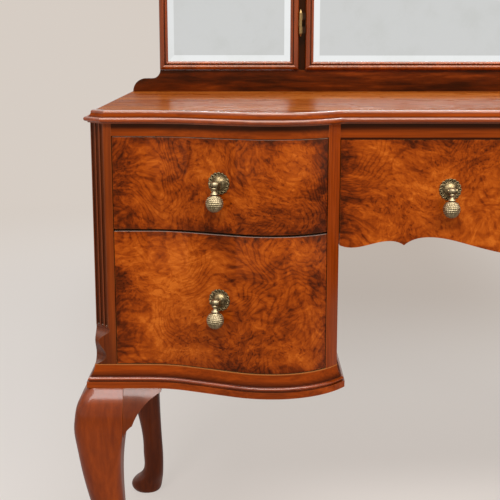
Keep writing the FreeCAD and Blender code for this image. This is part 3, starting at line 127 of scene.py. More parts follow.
class Graph:
    """A node tree, with short calls for the nodes that the finishes use."""

    flat_agreement = 0.995
    edge_agreement = 0.86
    edge_samples = 4
    hollow_samples = 8

    def __init__(self, tree: bpy.types.NodeTree) -> None:
        """Empty a node tree.

        Args:
            tree: the tree of a material or the world.
        """
        self.tree = tree
        self.tree.nodes.clear()

    def node(self, kind: str, **settings: object) -> bpy.types.Node:
        """Add a node and set its properties.

        Args:
            kind: Blender's name for the node's type.
            settings: properties of the node.

        Returns:
            The new node.
        """
        made = self.tree.nodes.new(kind)
        for key, value in settings.items():
            setattr(made, key, value)
        return made

    def link(self, source: Socket, target: Socket) -> None:
        """Join two sockets."""
        self.tree.links.new(source, target)

    def feed(self, target: Socket, value: object) -> None:
        """Give a socket a value, or join it to another socket.

        Args:
            target: the socket.
            value: a value or a socket.
        """
        if isinstance(value, Socket):
            self.link(value, target)
        else:
            target.default_value = value

    def place(self) -> Socket:
        """The piece's own coordinates, in metres."""
        return self.node("ShaderNodeTexCoord").outputs["Object"]

    def own_normal(self) -> Socket:
        """The direction that a surface faces, in the piece's own coordinates."""
        return self.node("ShaderNodeTexCoord").outputs["Normal"]

    def height(self) -> Socket:
        """How high a point lies, in the piece's own coordinates."""
        return self.parts(self.place())[2]

    def vector(self, operation: str, a: object, b: object = None) -> Socket:
        """A vector sum or product.

        Args:
            operation: the vector operation.
            a: first vector or socket.
            b: second vector or socket; a number for SCALE.

        Returns:
            The result's socket.
        """
        made = self.node("ShaderNodeVectorMath", operation=operation)
        self.feed(made.inputs[0], a)
        if operation == "SCALE":
            self.feed(made.inputs["Scale"], b)
        elif b is not None:
            self.feed(made.inputs[1], b)
        return made.outputs["Value" if operation in ("DOT_PRODUCT", "LENGTH") else "Vector"]

    def math(self, operation: str, a: object, b: object = None) -> Socket:
        """A sum on numbers.

        Args:
            operation: the operation.
            a: first number or socket.
            b: second number or socket.

        Returns:
            The result's socket.
        """
        made = self.node("ShaderNodeMath", operation=operation)
        self.feed(made.inputs[0], a)
        if b is not None:
            self.feed(made.inputs[1], b)
        return made.outputs[0]

    def times(self, *factors: object) -> Socket:
        """The product of numbers and sockets."""
        return reduce(partial(self.math, "MULTIPLY"), factors)

    def plus(self, *terms: object) -> Socket:
        """The sum of numbers and sockets."""
        return reduce(partial(self.math, "ADD"), terms)

    def minus(self, a: object, b: object) -> Socket:
        """The first number or socket less the second."""
        return self.math("SUBTRACT", a, b)

    def least(self, *values: object) -> Socket:
        """The lowest of some numbers and sockets."""
        return reduce(partial(self.math, "MINIMUM"), values)

    def parts(self, vector: Socket) -> list[Socket]:
        """Split a vector.

        Args:
            vector: the vector's socket.

        Returns:
            The sockets of its three numbers.
        """
        made = self.node("ShaderNodeSeparateXYZ")
        self.link(vector, made.inputs[0])
        return list(made.outputs)

    def noise(self, place: object, cloud: Cloud) -> bpy.types.Node:
        """Lay a cloud texture.

        Args:
            place: coordinates.
            cloud: the texture's settings.

        Returns:
            The noise node.
        """
        made = self.node("ShaderNodeTexNoise")
        self.feed(made.inputs["Vector"], place)
        for key, number in zip(("Scale", "Detail", "Roughness", "Distortion"), astuple(cloud)):
            made.inputs[key].default_value = number
        return made

    def cloud(self, place: object, cloud: Cloud) -> Socket:
        """How light a cloud texture is at a place, 0 to 1."""
        return self.noise(place, cloud).outputs["Fac"]

    def drawn(self, place: object, cloud: Cloud, reach: float) -> Socket:
        """Draw coordinates about by a cloud.

        Args:
            place: coordinates.
            cloud: the cloud that draws them.
            reach: how far a point is drawn, in metres.

        Returns:
            The drawn coordinates.
        """
        offset = self.vector("SUBTRACT", self.noise(place, cloud).outputs["Color"], (CLOUD_MIDDLE,) * 3)
        return self.vector("ADD", place, self.vector("SCALE", offset, reach))

    def along(self, grain: Axis, stretch: float, place: Socket) -> Socket:
        """Stretch coordinates along the grain.

        Args:
            grain: the grain's direction.
            stretch: share of a length along the grain that counts.
            place: coordinates.

        Returns:
            The stretched coordinates.
        """
        shares = tuple(stretch if axis is grain else 1.0 for axis in Axis)
        return self.vector("MULTIPLY", place, shares)

    def fade(
        self, value: object, low: float, high: float, start: float = 0.0, end: float = 1.0
    ) -> Socket:
        """A smooth step from one value to another.

        Args:
            value: number or socket.
            low: where the step starts.
            high: where it ends.
            start: result before the step.
            end: result after it.

        Returns:
            The result's socket.
        """
        made = self.node("ShaderNodeMapRange", interpolation_type="SMOOTHSTEP")
        self.feed(made.inputs["Value"], value)
        for key, number in zip(("From Min", "From Max", "To Min", "To Max"), (low, high, start, end)):
            made.inputs[key].default_value = number
        return made.outputs["Result"]

    def ramp(self, value: object, stops: Stops) -> Socket:
        """A colour read off a scale.

        Args:
            value: place on the scale, 0 to 1.
            stops: places with their colours.

        Returns:
            The colour's socket.
        """
        made = self.node("ShaderNodeValToRGB")
        self.feed(made.inputs["Fac"], value)
        row = made.color_ramp.elements
        while len(row) < len(stops):
            row.new(1.0)
        for element, (position, colour) in zip(row, stops):
            element.position = position
            element.color = (*colour, 1.0)
        return made.outputs["Color"]

    def mix(self, share: object, a: object, b: object, blend: str = "MIX") -> Socket:
        """Two colours mixed.

        Args:
            share: share of the second colour.
            a: first colour or socket.
            b: second colour or socket.
            blend: how they are mixed.

        Returns:
            The colour's socket.
        """
        made = self.node("ShaderNodeMix", data_type="RGBA", blend_type=blend)
        colours = [(*c, 1.0) if isinstance(c, tuple) else c for c in (a, b)]
        self.feed(made.inputs["Factor"], share)
        for socket, colour in zip([s for s in made.inputs if s.type == "RGBA"], colours):
            self.feed(socket, colour)
        return next(s for s in made.outputs if s.type == "RGBA")

    def blend(self, share: Socket, first: Socket, second: Socket | None = None) -> Socket:
        """Two shaders mixed.

        Args:
            share: share of the second shader.
            first: first shader.
            second: second shader; black where there is none.

        Returns:
            The mixed shader.
        """
        made = self.node("ShaderNodeMixShader")
        for socket, source in zip(made.inputs, (share, first, second)):
            if source is not None:
                self.link(source, socket)
        return made.outputs["Shader"]

    def bump(self, height: object, depth: float) -> Socket:
        """A bumped normal.

        Args:
            height: height socket, 0 to 1.
            depth: metres from lowest to highest.

        Returns:
            The normal's socket.
        """
        made = self.node("ShaderNodeBump")
        made.inputs["Strength"].default_value = 1.0
        made.inputs["Distance"].default_value = depth
        self.feed(made.inputs["Height"], height)
        return made.outputs["Normal"]

    def openness(self, reach: float) -> Socket:
        """How open a surface is, low in a hollow and 1 on a flat.

        Args:
            reach: how far round it counts.

        Returns:
            The share's socket.
        """
        made = self.node("ShaderNodeAmbientOcclusion", samples=self.hollow_samples, only_local=True)
        made.inputs["Distance"].default_value = reach
        return made.outputs["AO"]

    def arris(self, radius: float) -> Socket:
        """How near a surface is to an outer edge, 0 on a flat and 1 on an edge.

        Args:
            radius: how far from the edge counts.

        Returns:
            The share's socket.
        """
        soft = self.node("ShaderNodeBevel", samples=self.edge_samples)
        soft.inputs["Radius"].default_value = radius
        true = self.node("ShaderNodeNewGeometry").outputs["Normal"]
        agreement = self.vector("DOT_PRODUCT", soft.outputs["Normal"], true)
        return self.fade(agreement, self.flat_agreement, self.edge_agreement)


class Coating(Graph):
    """A material's node tree round one principled shader."""

    def __init__(self, name: str) -> None:
        """Start an empty material.

        Args:
            name: the material's name.
        """
        self.material = bpy.data.materials.new(name)
        self.material.use_nodes = True
        super().__init__(self.material.node_tree)
        self.shader = self.node("ShaderNodeBsdfPrincipled")
        self.output = self.node("ShaderNodeOutputMaterial")
        self.link(self.shader.outputs["BSDF"], self.output.inputs["Surface"])

    def set(self, **values: object) -> None:
        """Set the shader's sockets; an underscore in a name stands for a space.

        Args:
            values: socket names with a value or a socket to join.
        """
        for key, value in values.items():
            self.feed(self.shader.inputs[key.replace("_", " ")], value)


class Finish:
    """What every finish can do: become a material."""

    def lay(self, graph: Coating) -> None:
        """Lay the finish on a material's graph."""
        raise NotImplementedError

    def make(self, name: str) -> bpy.types.Material:
        """Build the material.

        Args:
            name: the material's name.

        Returns:
            The material.
        """
        graph = Coating(name)
        self.lay(graph)
        return graph.material


@dataclass(frozen=True)
class Hollow:
    """The matt hollow of a moulding, with painted shade at its foot, and a level below which the coat is
    thin.
    """

    foot: float
    top: float
    shade_height: float = 0.009
    roughness: float = 0.85
    dull_below: float = 0.0
    dull_coat: float = 0.0


@dataclass(frozen=True)
class Polish:
    """The polish of a timber: its gloss, its worn edges, painted shade in its hollows and in given bands of
    height, and a painted highlight above a given level.
    """

    roughness: float = 0.22
    spread: float = 0.05
    gloss: float = 0.22
    tint: Colour = (1.0, 0.52, 0.18)
    coat: float = 0.12
    coat_roughness: float = 0.20
    patches: Cloud = Cloud(21.0, 3.0)
    patch_tones: Span = (0.25, 0.75)
    wear_and_painted_light: Colour = (0.46, 0.15, 0.035)
    worn_patches: Span = (0.32, 0.62)
    wear: float = 0.35
    edge_radius: float = 0.0014
    painted_shade: Colour = (0.13, 0.08, 0.05)
    shade_reach: float = 0.009
    clean_from: Span = (0.30, 0.90)
    hollow: Hollow | None = None
    shade_bands: tuple[Span, ...] = ()
    lit_above: float | None = None
    soft_edge: float = 0.0005

    def apply(self, graph: Coating, colour: Socket, relief: Socket, depth: float) -> None:
        """Finish a timber graph with edge wear, painted shade and highlight, gloss and a little relief.

        Args:
            graph: the material's graph.
            colour: the timber's colour.
            relief: the grain's relief, 0 to 1.
            depth: depth of the grain in metres.
        """
        patches = graph.cloud(graph.place(), self.patches)
        share = graph.times(graph.arris(self.edge_radius), self.wear, graph.fade(patches, *self.worn_patches))
        colour = graph.mix(share, colour, self.wear_and_painted_light)
        # Painted highlight: the wear colour laid over everything above a level.
        if self.lit_above is not None:
            colour = graph.mix(self.above(graph, self.lit_above), colour, self.wear_and_painted_light)
        # Painted shade: darker where the surface is closed in.
        clean = graph.fade(graph.openness(self.shade_reach), *self.clean_from)
        shade = graph.mix(clean, self.painted_shade, WHITE)
        smooth = self.roughness - self.spread
        roughness = graph.fade(patches, *self.patch_tones, smooth, self.roughness + self.spread)
        coat: object = self.coat
        hollow = self.hollow
        if hollow is not None:
            # Painted shade at the foot of the hollow.
            inside = graph.minus(self.above(graph, hollow.foot), self.above(graph, hollow.top))
            shade_top = hollow.foot + hollow.shade_height
            foot_shade = graph.times(inside, graph.fade(graph.height(), hollow.foot, shade_top, 1.0, 0.0))
            shade = graph.mix(foot_shade, shade, self.painted_shade)
            coat = self.above(graph, hollow.dull_below, hollow.dull_coat, self.coat)
            coat = graph.times(coat, graph.minus(1.0, inside))
            roughness = graph.fade(inside, 0.0, 1.0, smooth, hollow.roughness)
        # Painted shade in bands of height, such as under an overhang.
        for start, full in self.shade_bands:
            shade = graph.mix(graph.fade(graph.height(), start, full), shade, self.painted_shade)
        graph.set(
            Base_Color=graph.mix(1.0, colour, shade, "MULTIPLY"),
            Roughness=roughness,
            Specular_IOR_Level=self.gloss,
            Specular_Tint=(*self.tint, 1.0),
            Normal=graph.bump(relief, depth),
            Coat_Weight=coat,
            Coat_Roughness=self.coat_roughness,
        )

    def above(self, graph: Coating, level: float, start: float = 0.0, end: float = 1.0) -> Socket:
        """One value below a level and another above it, with a soft edge."""
        return graph.fade(graph.height(), level - self.soft_edge, level + self.soft_edge, start, end)


@dataclass(frozen=True)
class BurrVeneer(Finish):
    """Burr walnut on a drawer front: curls, contour lines, eyes and darker edges."""

    low: Vector
    high: Vector
    seed: Vector
    lift: float = 0.0
    plates: tuple[Vector, ...] = ()
    plate_radius: float = 0.0149
    plate_edge: float = 0.0006
    shade_behind_plate: Colour = (0.010, 0.005, 0.003)
    margin: float = 0.042
    margin_start: float = -0.25
    margin_cloud: Cloud = Cloud(34.0, 3.0)
    height_weight: float = 2.0
    edge_shade: float = 0.36
    polish: Polish = Polish()
    relief: float = 0.00010
    stops: Stops = (
        (0.00, (0.045, 0.0055, 0.0006)),
        (0.26, (0.145, 0.0180, 0.0009)),
        (0.50, (0.290, 0.0430, 0.0018)),
        (0.74, (0.430, 0.0770, 0.0040)),
        (1.00, (0.600, 0.1350, 0.0110)),
    )
    core: Colour = (0.30, 0.16, 0.07)
    core_facing: Span = (0.3, 0.6)
    painted_top_edge: Colour = (0.52, 0.40, 0.33)
    top_rising: Span = (0.35, 0.75)
    top_share: float = 0.8
    slow_bend: Cloud = Cloud(5.0)
    slow_reach: float = 0.16
    fine_bend: Cloud = Cloud(42.0)
    fine_reach: float = 0.022
    clouds: Cloud = Cloud(11.0, 3.0, 0.58, 0.6)
    cloud_weight: float = 1.55
    feathers: Cloud = Cloud(50.0, 5.0, 0.66, 1.5)
    feather_weight: float = 1.20
    comb: Triple = (0.55, 1.0, 1.25)
    mottle: Cloud = Cloud(120.0, 4.0, 0.62, 0.6)
    mottle_weight: float = 0.80
    ground: float = 1.18
    busy: Cloud = Cloud(13.0)
    busy_tones: Span = (0.44, 0.60)
    curls: Cloud = Cloud(75.0, 1.5, 0.5, 0.9)
    curl_width: float = 0.040
    curl_weight: float = 0.20
    contour_bend: Cloud = Cloud(60.0, 1.0)
    contour_reach: float = 0.008
    contour_bands: Cloud = Cloud(10.0, 0.5, 0.4)
    contour_count: float = 170.0
    contour_tones: Span = (0.1, 1.0)
    contour_weight: float = 0.17
    eye_scale: float = 130.0
    eye_sizes: Span = (0.06, 0.30)
    eye_weight: float = 0.24

    def curl_lines(self, graph: Coating, place: Socket) -> Socket:
        """Thin lines where a cloud passes its middle value.

        Args:
            graph: the material's graph.
            place: coordinates.

        Returns:
            1 on a line and 0 away from it.
        """
        away = graph.math("ABSOLUTE", graph.minus(graph.cloud(place, self.curls), CLOUD_MIDDLE))
        return graph.fade(away, 0.0, self.curl_width, 1.0, 0.0)

    def contours(self, graph: Coating, place: Socket) -> Socket:
        """Close lines that follow one another round the figure.

        Args:
            graph: the material's graph.
            place: coordinates.

        Returns:
            1 on a line and 0 away from it.
        """
        bands = graph.cloud(graph.drawn(place, self.contour_bend, self.contour_reach), self.contour_bands)
        return graph.fade(graph.math("SINE", graph.times(bands, self.contour_count)), *self.contour_tones)

    def eyes(self, graph: Coating, place: Socket) -> Socket:
        """Small dark eyes.

        Args:
            graph: the material's graph.
            place: coordinates.

        Returns:
            1 in an eye and 0 away from it.
        """
        made = graph.node("ShaderNodeTexVoronoi")
        graph.link(place, made.inputs["Vector"])
        made.inputs["Scale"].default_value = self.eye_scale
        return graph.fade(made.outputs["Distance"], *self.eye_sizes, 1.0, 0.0)

    def figure(self, graph: Coating) -> Socket:
        """Draw the burr.

        Args:
            graph: the material's graph.

        Returns:
            Its tone, dark to light.
        """
        place = graph.vector("ADD", graph.place(), tuple(self.seed))
        slow = graph.drawn(place, self.slow_bend, self.slow_reach)
        fine = graph.drawn(slow, self.fine_bend, self.fine_reach)
        combed = graph.vector("MULTIPLY", slow, self.comb)
        tone = graph.plus(
            graph.times(graph.cloud(slow, self.clouds), self.cloud_weight),
            graph.times(graph.cloud(combed, self.feathers), self.feather_weight),
            graph.times(graph.cloud(fine, self.mottle), self.mottle_weight),
            self.lift - self.ground,
        )
        busy = graph.fade(graph.cloud(slow, self.busy), *self.busy_tones)
        for dark, where, weight in (
            (self.curl_lines(graph, fine), busy, self.curl_weight),
            (self.contours(graph, slow), graph.minus(1.0, busy), self.contour_weight),
            (self.eyes(graph, fine), busy, self.eye_weight),
        ):
            tone = graph.minus(tone, graph.times(dark, where, weight))
        return tone

    def margins(self, graph: Coating) -> Socket:
        """How far in from the front's edges a point lies.

        Args:
            graph: the material's graph.

        Returns:
            0 at an edge and 1 well inside.
        """
        x, _, z = graph.parts(graph.place())
        nearest = graph.least(
            graph.minus(x, self.low.x),
            graph.minus(self.high.x, x),
            graph.times(graph.minus(z, self.low.z), self.height_weight),
            graph.times(graph.minus(self.high.z, z), self.height_weight),
        )
        cloud = graph.cloud(graph.place(), self.margin_cloud)
        wobble = graph.times(graph.minus(cloud, CLOUD_MIDDLE), self.margin)
        return graph.fade(graph.plus(nearest, wobble), self.margin_start * self.margin, self.margin)

    def lay(self, graph: Coating) -> None:
        """Lay the burr on the face, painted shade behind each plate, the core on the back, and painted light
        along the top edge: a highlight, and on the centre drawer a shadow.

        Args:
            graph: the material's graph.
        """
        tone = self.figure(graph)
        edges = graph.times(graph.minus(self.margins(graph), 1.0), self.edge_shade)
        colour = graph.ramp(graph.plus(tone, edges), self.stops)
        _, facing, rising = graph.parts(graph.own_normal())
        colour = graph.mix(graph.fade(facing, *self.core_facing), colour, self.core)
        # Painted highlight along the upward-facing top edge; on the centre drawer this colour is a painted
        # gap shadow.
        colour = graph.mix(graph.fade(rising, *self.top_rising, 0.0, self.top_share), colour, self.painted_top_edge)
        # Painted shade behind each handle's plate, seen through its piercings.
        for plate in self.plates:
            away = graph.vector("LENGTH", graph.vector("SUBTRACT", graph.place(), tuple(plate)))
            hidden = graph.fade(away, self.plate_radius, self.plate_radius + self.plate_edge, 1.0, 0.0)
            colour = graph.mix(hidden, colour, self.shade_behind_plate)
        self.polish.apply(graph, colour, tone, self.relief)


@dataclass(frozen=True)
class StraightVeneer(Finish):
    """Straight-grained walnut: fine streaks along the grain and slow bands of tone."""

    grain: Axis
    stops: Stops = (
        (0.00, (0.034, 0.0046, 0.0005)),
        (0.35, (0.105, 0.0142, 0.0008)),
        (0.62, (0.182, 0.0272, 0.0014)),
        (1.00, (0.290, 0.0500, 0.0036)),
    )
    seed: float = 0.0
    seed_way: Triple = (1.0, 0.7, 0.4)
    streaks: float = 260.0
    streak_detail: float = 4.0
    streak_rough: float = 0.62
    streak_weight: float = 0.75
    bands: float = 38.0
    band_weight: float = 0.85
    ground: float = 0.30
    stretch: float = 0.045
    sway: Cloud = Cloud(24.0)
    sway_reach: float = 0.012
    relief: float = 0.00005
    polish: Polish = Polish()

    def lay(self, graph: Coating) -> None:
        """Lay the streaks and the bands, and polish them.

        Args:
            graph: the material's graph.
        """
        shift = tuple(self.seed * share for share in self.seed_way)
        place = graph.vector("ADD", graph.place(), shift)
        along = graph.drawn(graph.along(self.grain, self.stretch, place), self.sway, self.sway_reach)
        fine = graph.cloud(along, Cloud(self.streaks, self.streak_detail, self.streak_rough))
        broad = graph.times(graph.cloud(along, Cloud(self.bands)), self.band_weight)
        tone = graph.plus(graph.times(fine, self.streak_weight), broad, -self.ground)
        self.polish.apply(graph, graph.ramp(tone, self.stops), fine, self.relief)


@dataclass(frozen=True)
class PlainTimber(Finish):
    """Unpolished timber inside the carcase: pale, dry and straight-grained."""

    grain: Axis
    pale: Colour = (0.46, 0.235, 0.090)
    pale_tone: float = 0.8
    dark: Colour = (0.29, 0.125, 0.042)
    dark_tone: float = 0.2
    roughness: float = 0.72
    spread: float = 0.1
    gloss: float = 0.15
    stretch: float = 0.05
    streaks: Cloud = Cloud(330.0, 5.0, 0.6, 0.4)
    streak_weight: float = 0.8
    bands: Cloud = Cloud(42.0)
    band_weight: float = 0.7
    ground: float = 0.25
    stains: Cloud = Cloud(9.0, 4.0, 0.6)
    stain_tones: Span = (0.45, 0.75)
    stain: Colour = (0.72, 0.66, 0.60)
    relief: float = 0.00015

    def lay(self, graph: Coating) -> None:
        """Lay the grain and the stains.

        Args:
            graph: the material's graph.
        """
        along = graph.along(self.grain, self.stretch, graph.place())
        fine = graph.cloud(along, self.streaks)
        broad = graph.times(graph.cloud(along, self.bands), self.band_weight)
        tone = graph.plus(graph.times(fine, self.streak_weight), broad, -self.ground)
        colour = graph.ramp(tone, ((self.dark_tone, self.dark), (self.pale_tone, self.pale)))
        stained = graph.fade(graph.cloud(graph.place(), self.stains), *self.stain_tones)
        ends = (self.roughness - self.spread, self.roughness + self.spread)
        graph.set(
            Base_Color=graph.mix(1.0, colour, graph.mix(stained, WHITE, self.stain), "MULTIPLY"),
            Roughness=graph.fade(fine, *MID_TONES, *ends),
            Specular_IOR_Level=self.gloss,
            Normal=graph.bump(fine, self.relief),
        )


@dataclass(frozen=True)
class AntiqueBrass(Finish):
    """Cast brass, rubbed bright where it stands proud and dark in its hollows."""

    bright: Colour = (0.34, 0.25, 0.125)
    dull: Colour = (0.085, 0.060, 0.030)
    patina: Colour = (0.014, 0.010, 0.006)
    patches: Cloud = Cloud(260.0, 4.0, 0.6)
    bright_tones: Span = (0.35, 0.66)
    edge_radius: float = 0.0010
    hollow_reach: float = 0.0030
    clean_from: Span = (0.40, 0.92)
    roughness: float = 0.36
    smoother: float = 0.08
    rougher: float = 0.12
    metal: float = 0.92
    grit: Cloud = Cloud(900.0)
    grit_depth: float = 0.00006

    def lay(self, graph: Coating) -> None:
        """Lay dull patches, bright edges and dark hollows.

        Args:
            graph: the material's graph.
        """
        patches = graph.cloud(graph.place(), self.patches)
        colour = graph.mix(graph.fade(patches, *self.bright_tones), self.dull, self.bright)
        colour = graph.mix(graph.arris(self.edge_radius), colour, self.bright)
        clean = graph.fade(graph.openness(self.hollow_reach), *self.clean_from)
        ends = (self.roughness - self.smoother, self.roughness + self.rougher)
        graph.set(
            Base_Color=graph.mix(clean, self.patina, colour),
            Metallic=self.metal,
            Roughness=graph.fade(patches, *MID_TONES, *ends),
            Normal=graph.bump(graph.cloud(graph.place(), self.grit), self.grit_depth),
        )


@dataclass(frozen=True)
class HingeBrass(Finish):
    """A hinge whose knuckles are rubbed bright and whose leaves are darkened with painted shade."""

    pins: tuple[Span, ...]
    knuckle: float = 0.0030
    knuckle_edge: float = 0.00045
    bright: Colour = (0.34, 0.225, 0.09)
    painted_leaf_shade: Colour = (0.035, 0.016, 0.008)
    metal: Span = (0.4, 0.95)
    patches: Cloud = Cloud(300.0, 3.0)
    roughness: Span = (0.34, 0.50)
    gloss: float = 0.1

    def lay(self, graph: Coating) -> None:
        """Lay bright brass round each pin and painted shade beyond it.

        Args:
            graph: the material's graph.
        """
        level = graph.vector("MULTIPLY", graph.place(), (1.0, 1.0, 0.0))
        spots = [graph.vector("SUBTRACT", level, (x, y, 0.0)) for x, y in self.pins]
        nearest = graph.least(*(graph.vector("LENGTH", spot) for spot in spots))
        rubbed = graph.fade(nearest, self.knuckle, self.knuckle + self.knuckle_edge, 1.0, 0.0)
        graph.set(
            # Away from the pins the leaves take painted shade.
            Base_Color=graph.mix(rubbed, self.painted_leaf_shade, self.bright),
            Metallic=graph.fade(rubbed, 0.0, 1.0, *self.metal),
            Roughness=graph.fade(graph.cloud(graph.place(), self.patches), *MID_TONES, *self.roughness),
            Specular_IOR_Level=self.gloss,
        )


@dataclass(frozen=True)
class SilveredGlass(Finish):
    """Old mirror plate, silvered behind, whose bevels bend the view towards the thick glass."""

    silver: Colour = (0.86, 0.875, 0.88)
    aged: Colour = (0.82, 0.835, 0.83)
    foxing: Cloud = Cloud(16.0, 4.0, 0.6)
    aged_tones: Span = (0.45, 0.75)
    rough_tones: Span = (0.3, 0.8)
    roughness: Span = (0.0, 0.02)
    bend: float = 2.0
    flat: Triple = (0.0, -1.0, 0.0)

    def bent_normal(self, graph: Coating) -> Socket:
        """The normal of the silvering as it is seen through the bevelled front.

        Args:
            graph: the material's graph.

        Returns:
            The normal's socket, in world directions.
        """
        tilt = graph.vector("SUBTRACT", graph.own_normal(), self.flat)
        inner = graph.vector("SUBTRACT", self.flat, graph.vector("SCALE", tilt, self.bend))
        turn = graph.node("ShaderNodeVectorTransform", vector_type="NORMAL")
        turn.convert_from = "OBJECT"
        turn.convert_to = "WORLD"
        graph.link(inner, turn.inputs["Vector"])
        return graph.vector("NORMALIZE", turn.outputs["Vector"])

    def lay(self, graph: Coating) -> None:
        """Lay the silvering and its foxing.

        Args:
            graph: the material's graph.
        """
        foxing = graph.cloud(graph.place(), self.foxing)
        graph.set(
            Base_Color=graph.mix(graph.fade(foxing, *self.aged_tones), self.silver, self.aged),
            Metallic=1.0,
            Roughness=graph.fade(foxing, *self.rough_tones, *self.roughness),
            Normal=self.bent_normal(graph),
        )


def scaled(stops: Stops, factor: float) -> Stops:
    """A scale of colours made lighter or darker by a factor."""
    return tuple((at, tuple(factor * part for part in colour)) for at, colour in stops)


def dress(names: Iterable[str], nodes: Nodes, finish: bpy.types.Material) -> None:
    """Give CAD nodes a finish.

    Args:
        names: the nodes' names.
        nodes: the frame's nodes.
        finish: the material.
    """
    for name in names:
        for slot in nodes[name].material_slots:
            slot.material = finish
        LOG.info("%s dressed in %s", name, finish.name)


def put(name: str, data: bpy.types.ID) -> bpy.types.Object:
    """Add an object to the scene.

    Args:
        name: its name.
        data: its mesh, lamp or camera.

    Returns:
        The new object.
    """
    made = bpy.data.objects.new(name, data)
    bpy.context.scene.collection.objects.link(made)
    return made


def smooth_mesh(work: bmesh.types.BMesh, name: str) -> bpy.types.Mesh:
    """Turn worked geometry into a mesh.

    Args:
        work: the geometry, which is freed.
        name: the mesh's name.

    Returns:
        The mesh, with smooth faces.
    """
    for face in work.faces:
        face.smooth = True
    made = bpy.data.meshes.new(name)
    work.to_mesh(made)
    work.free()
    return made


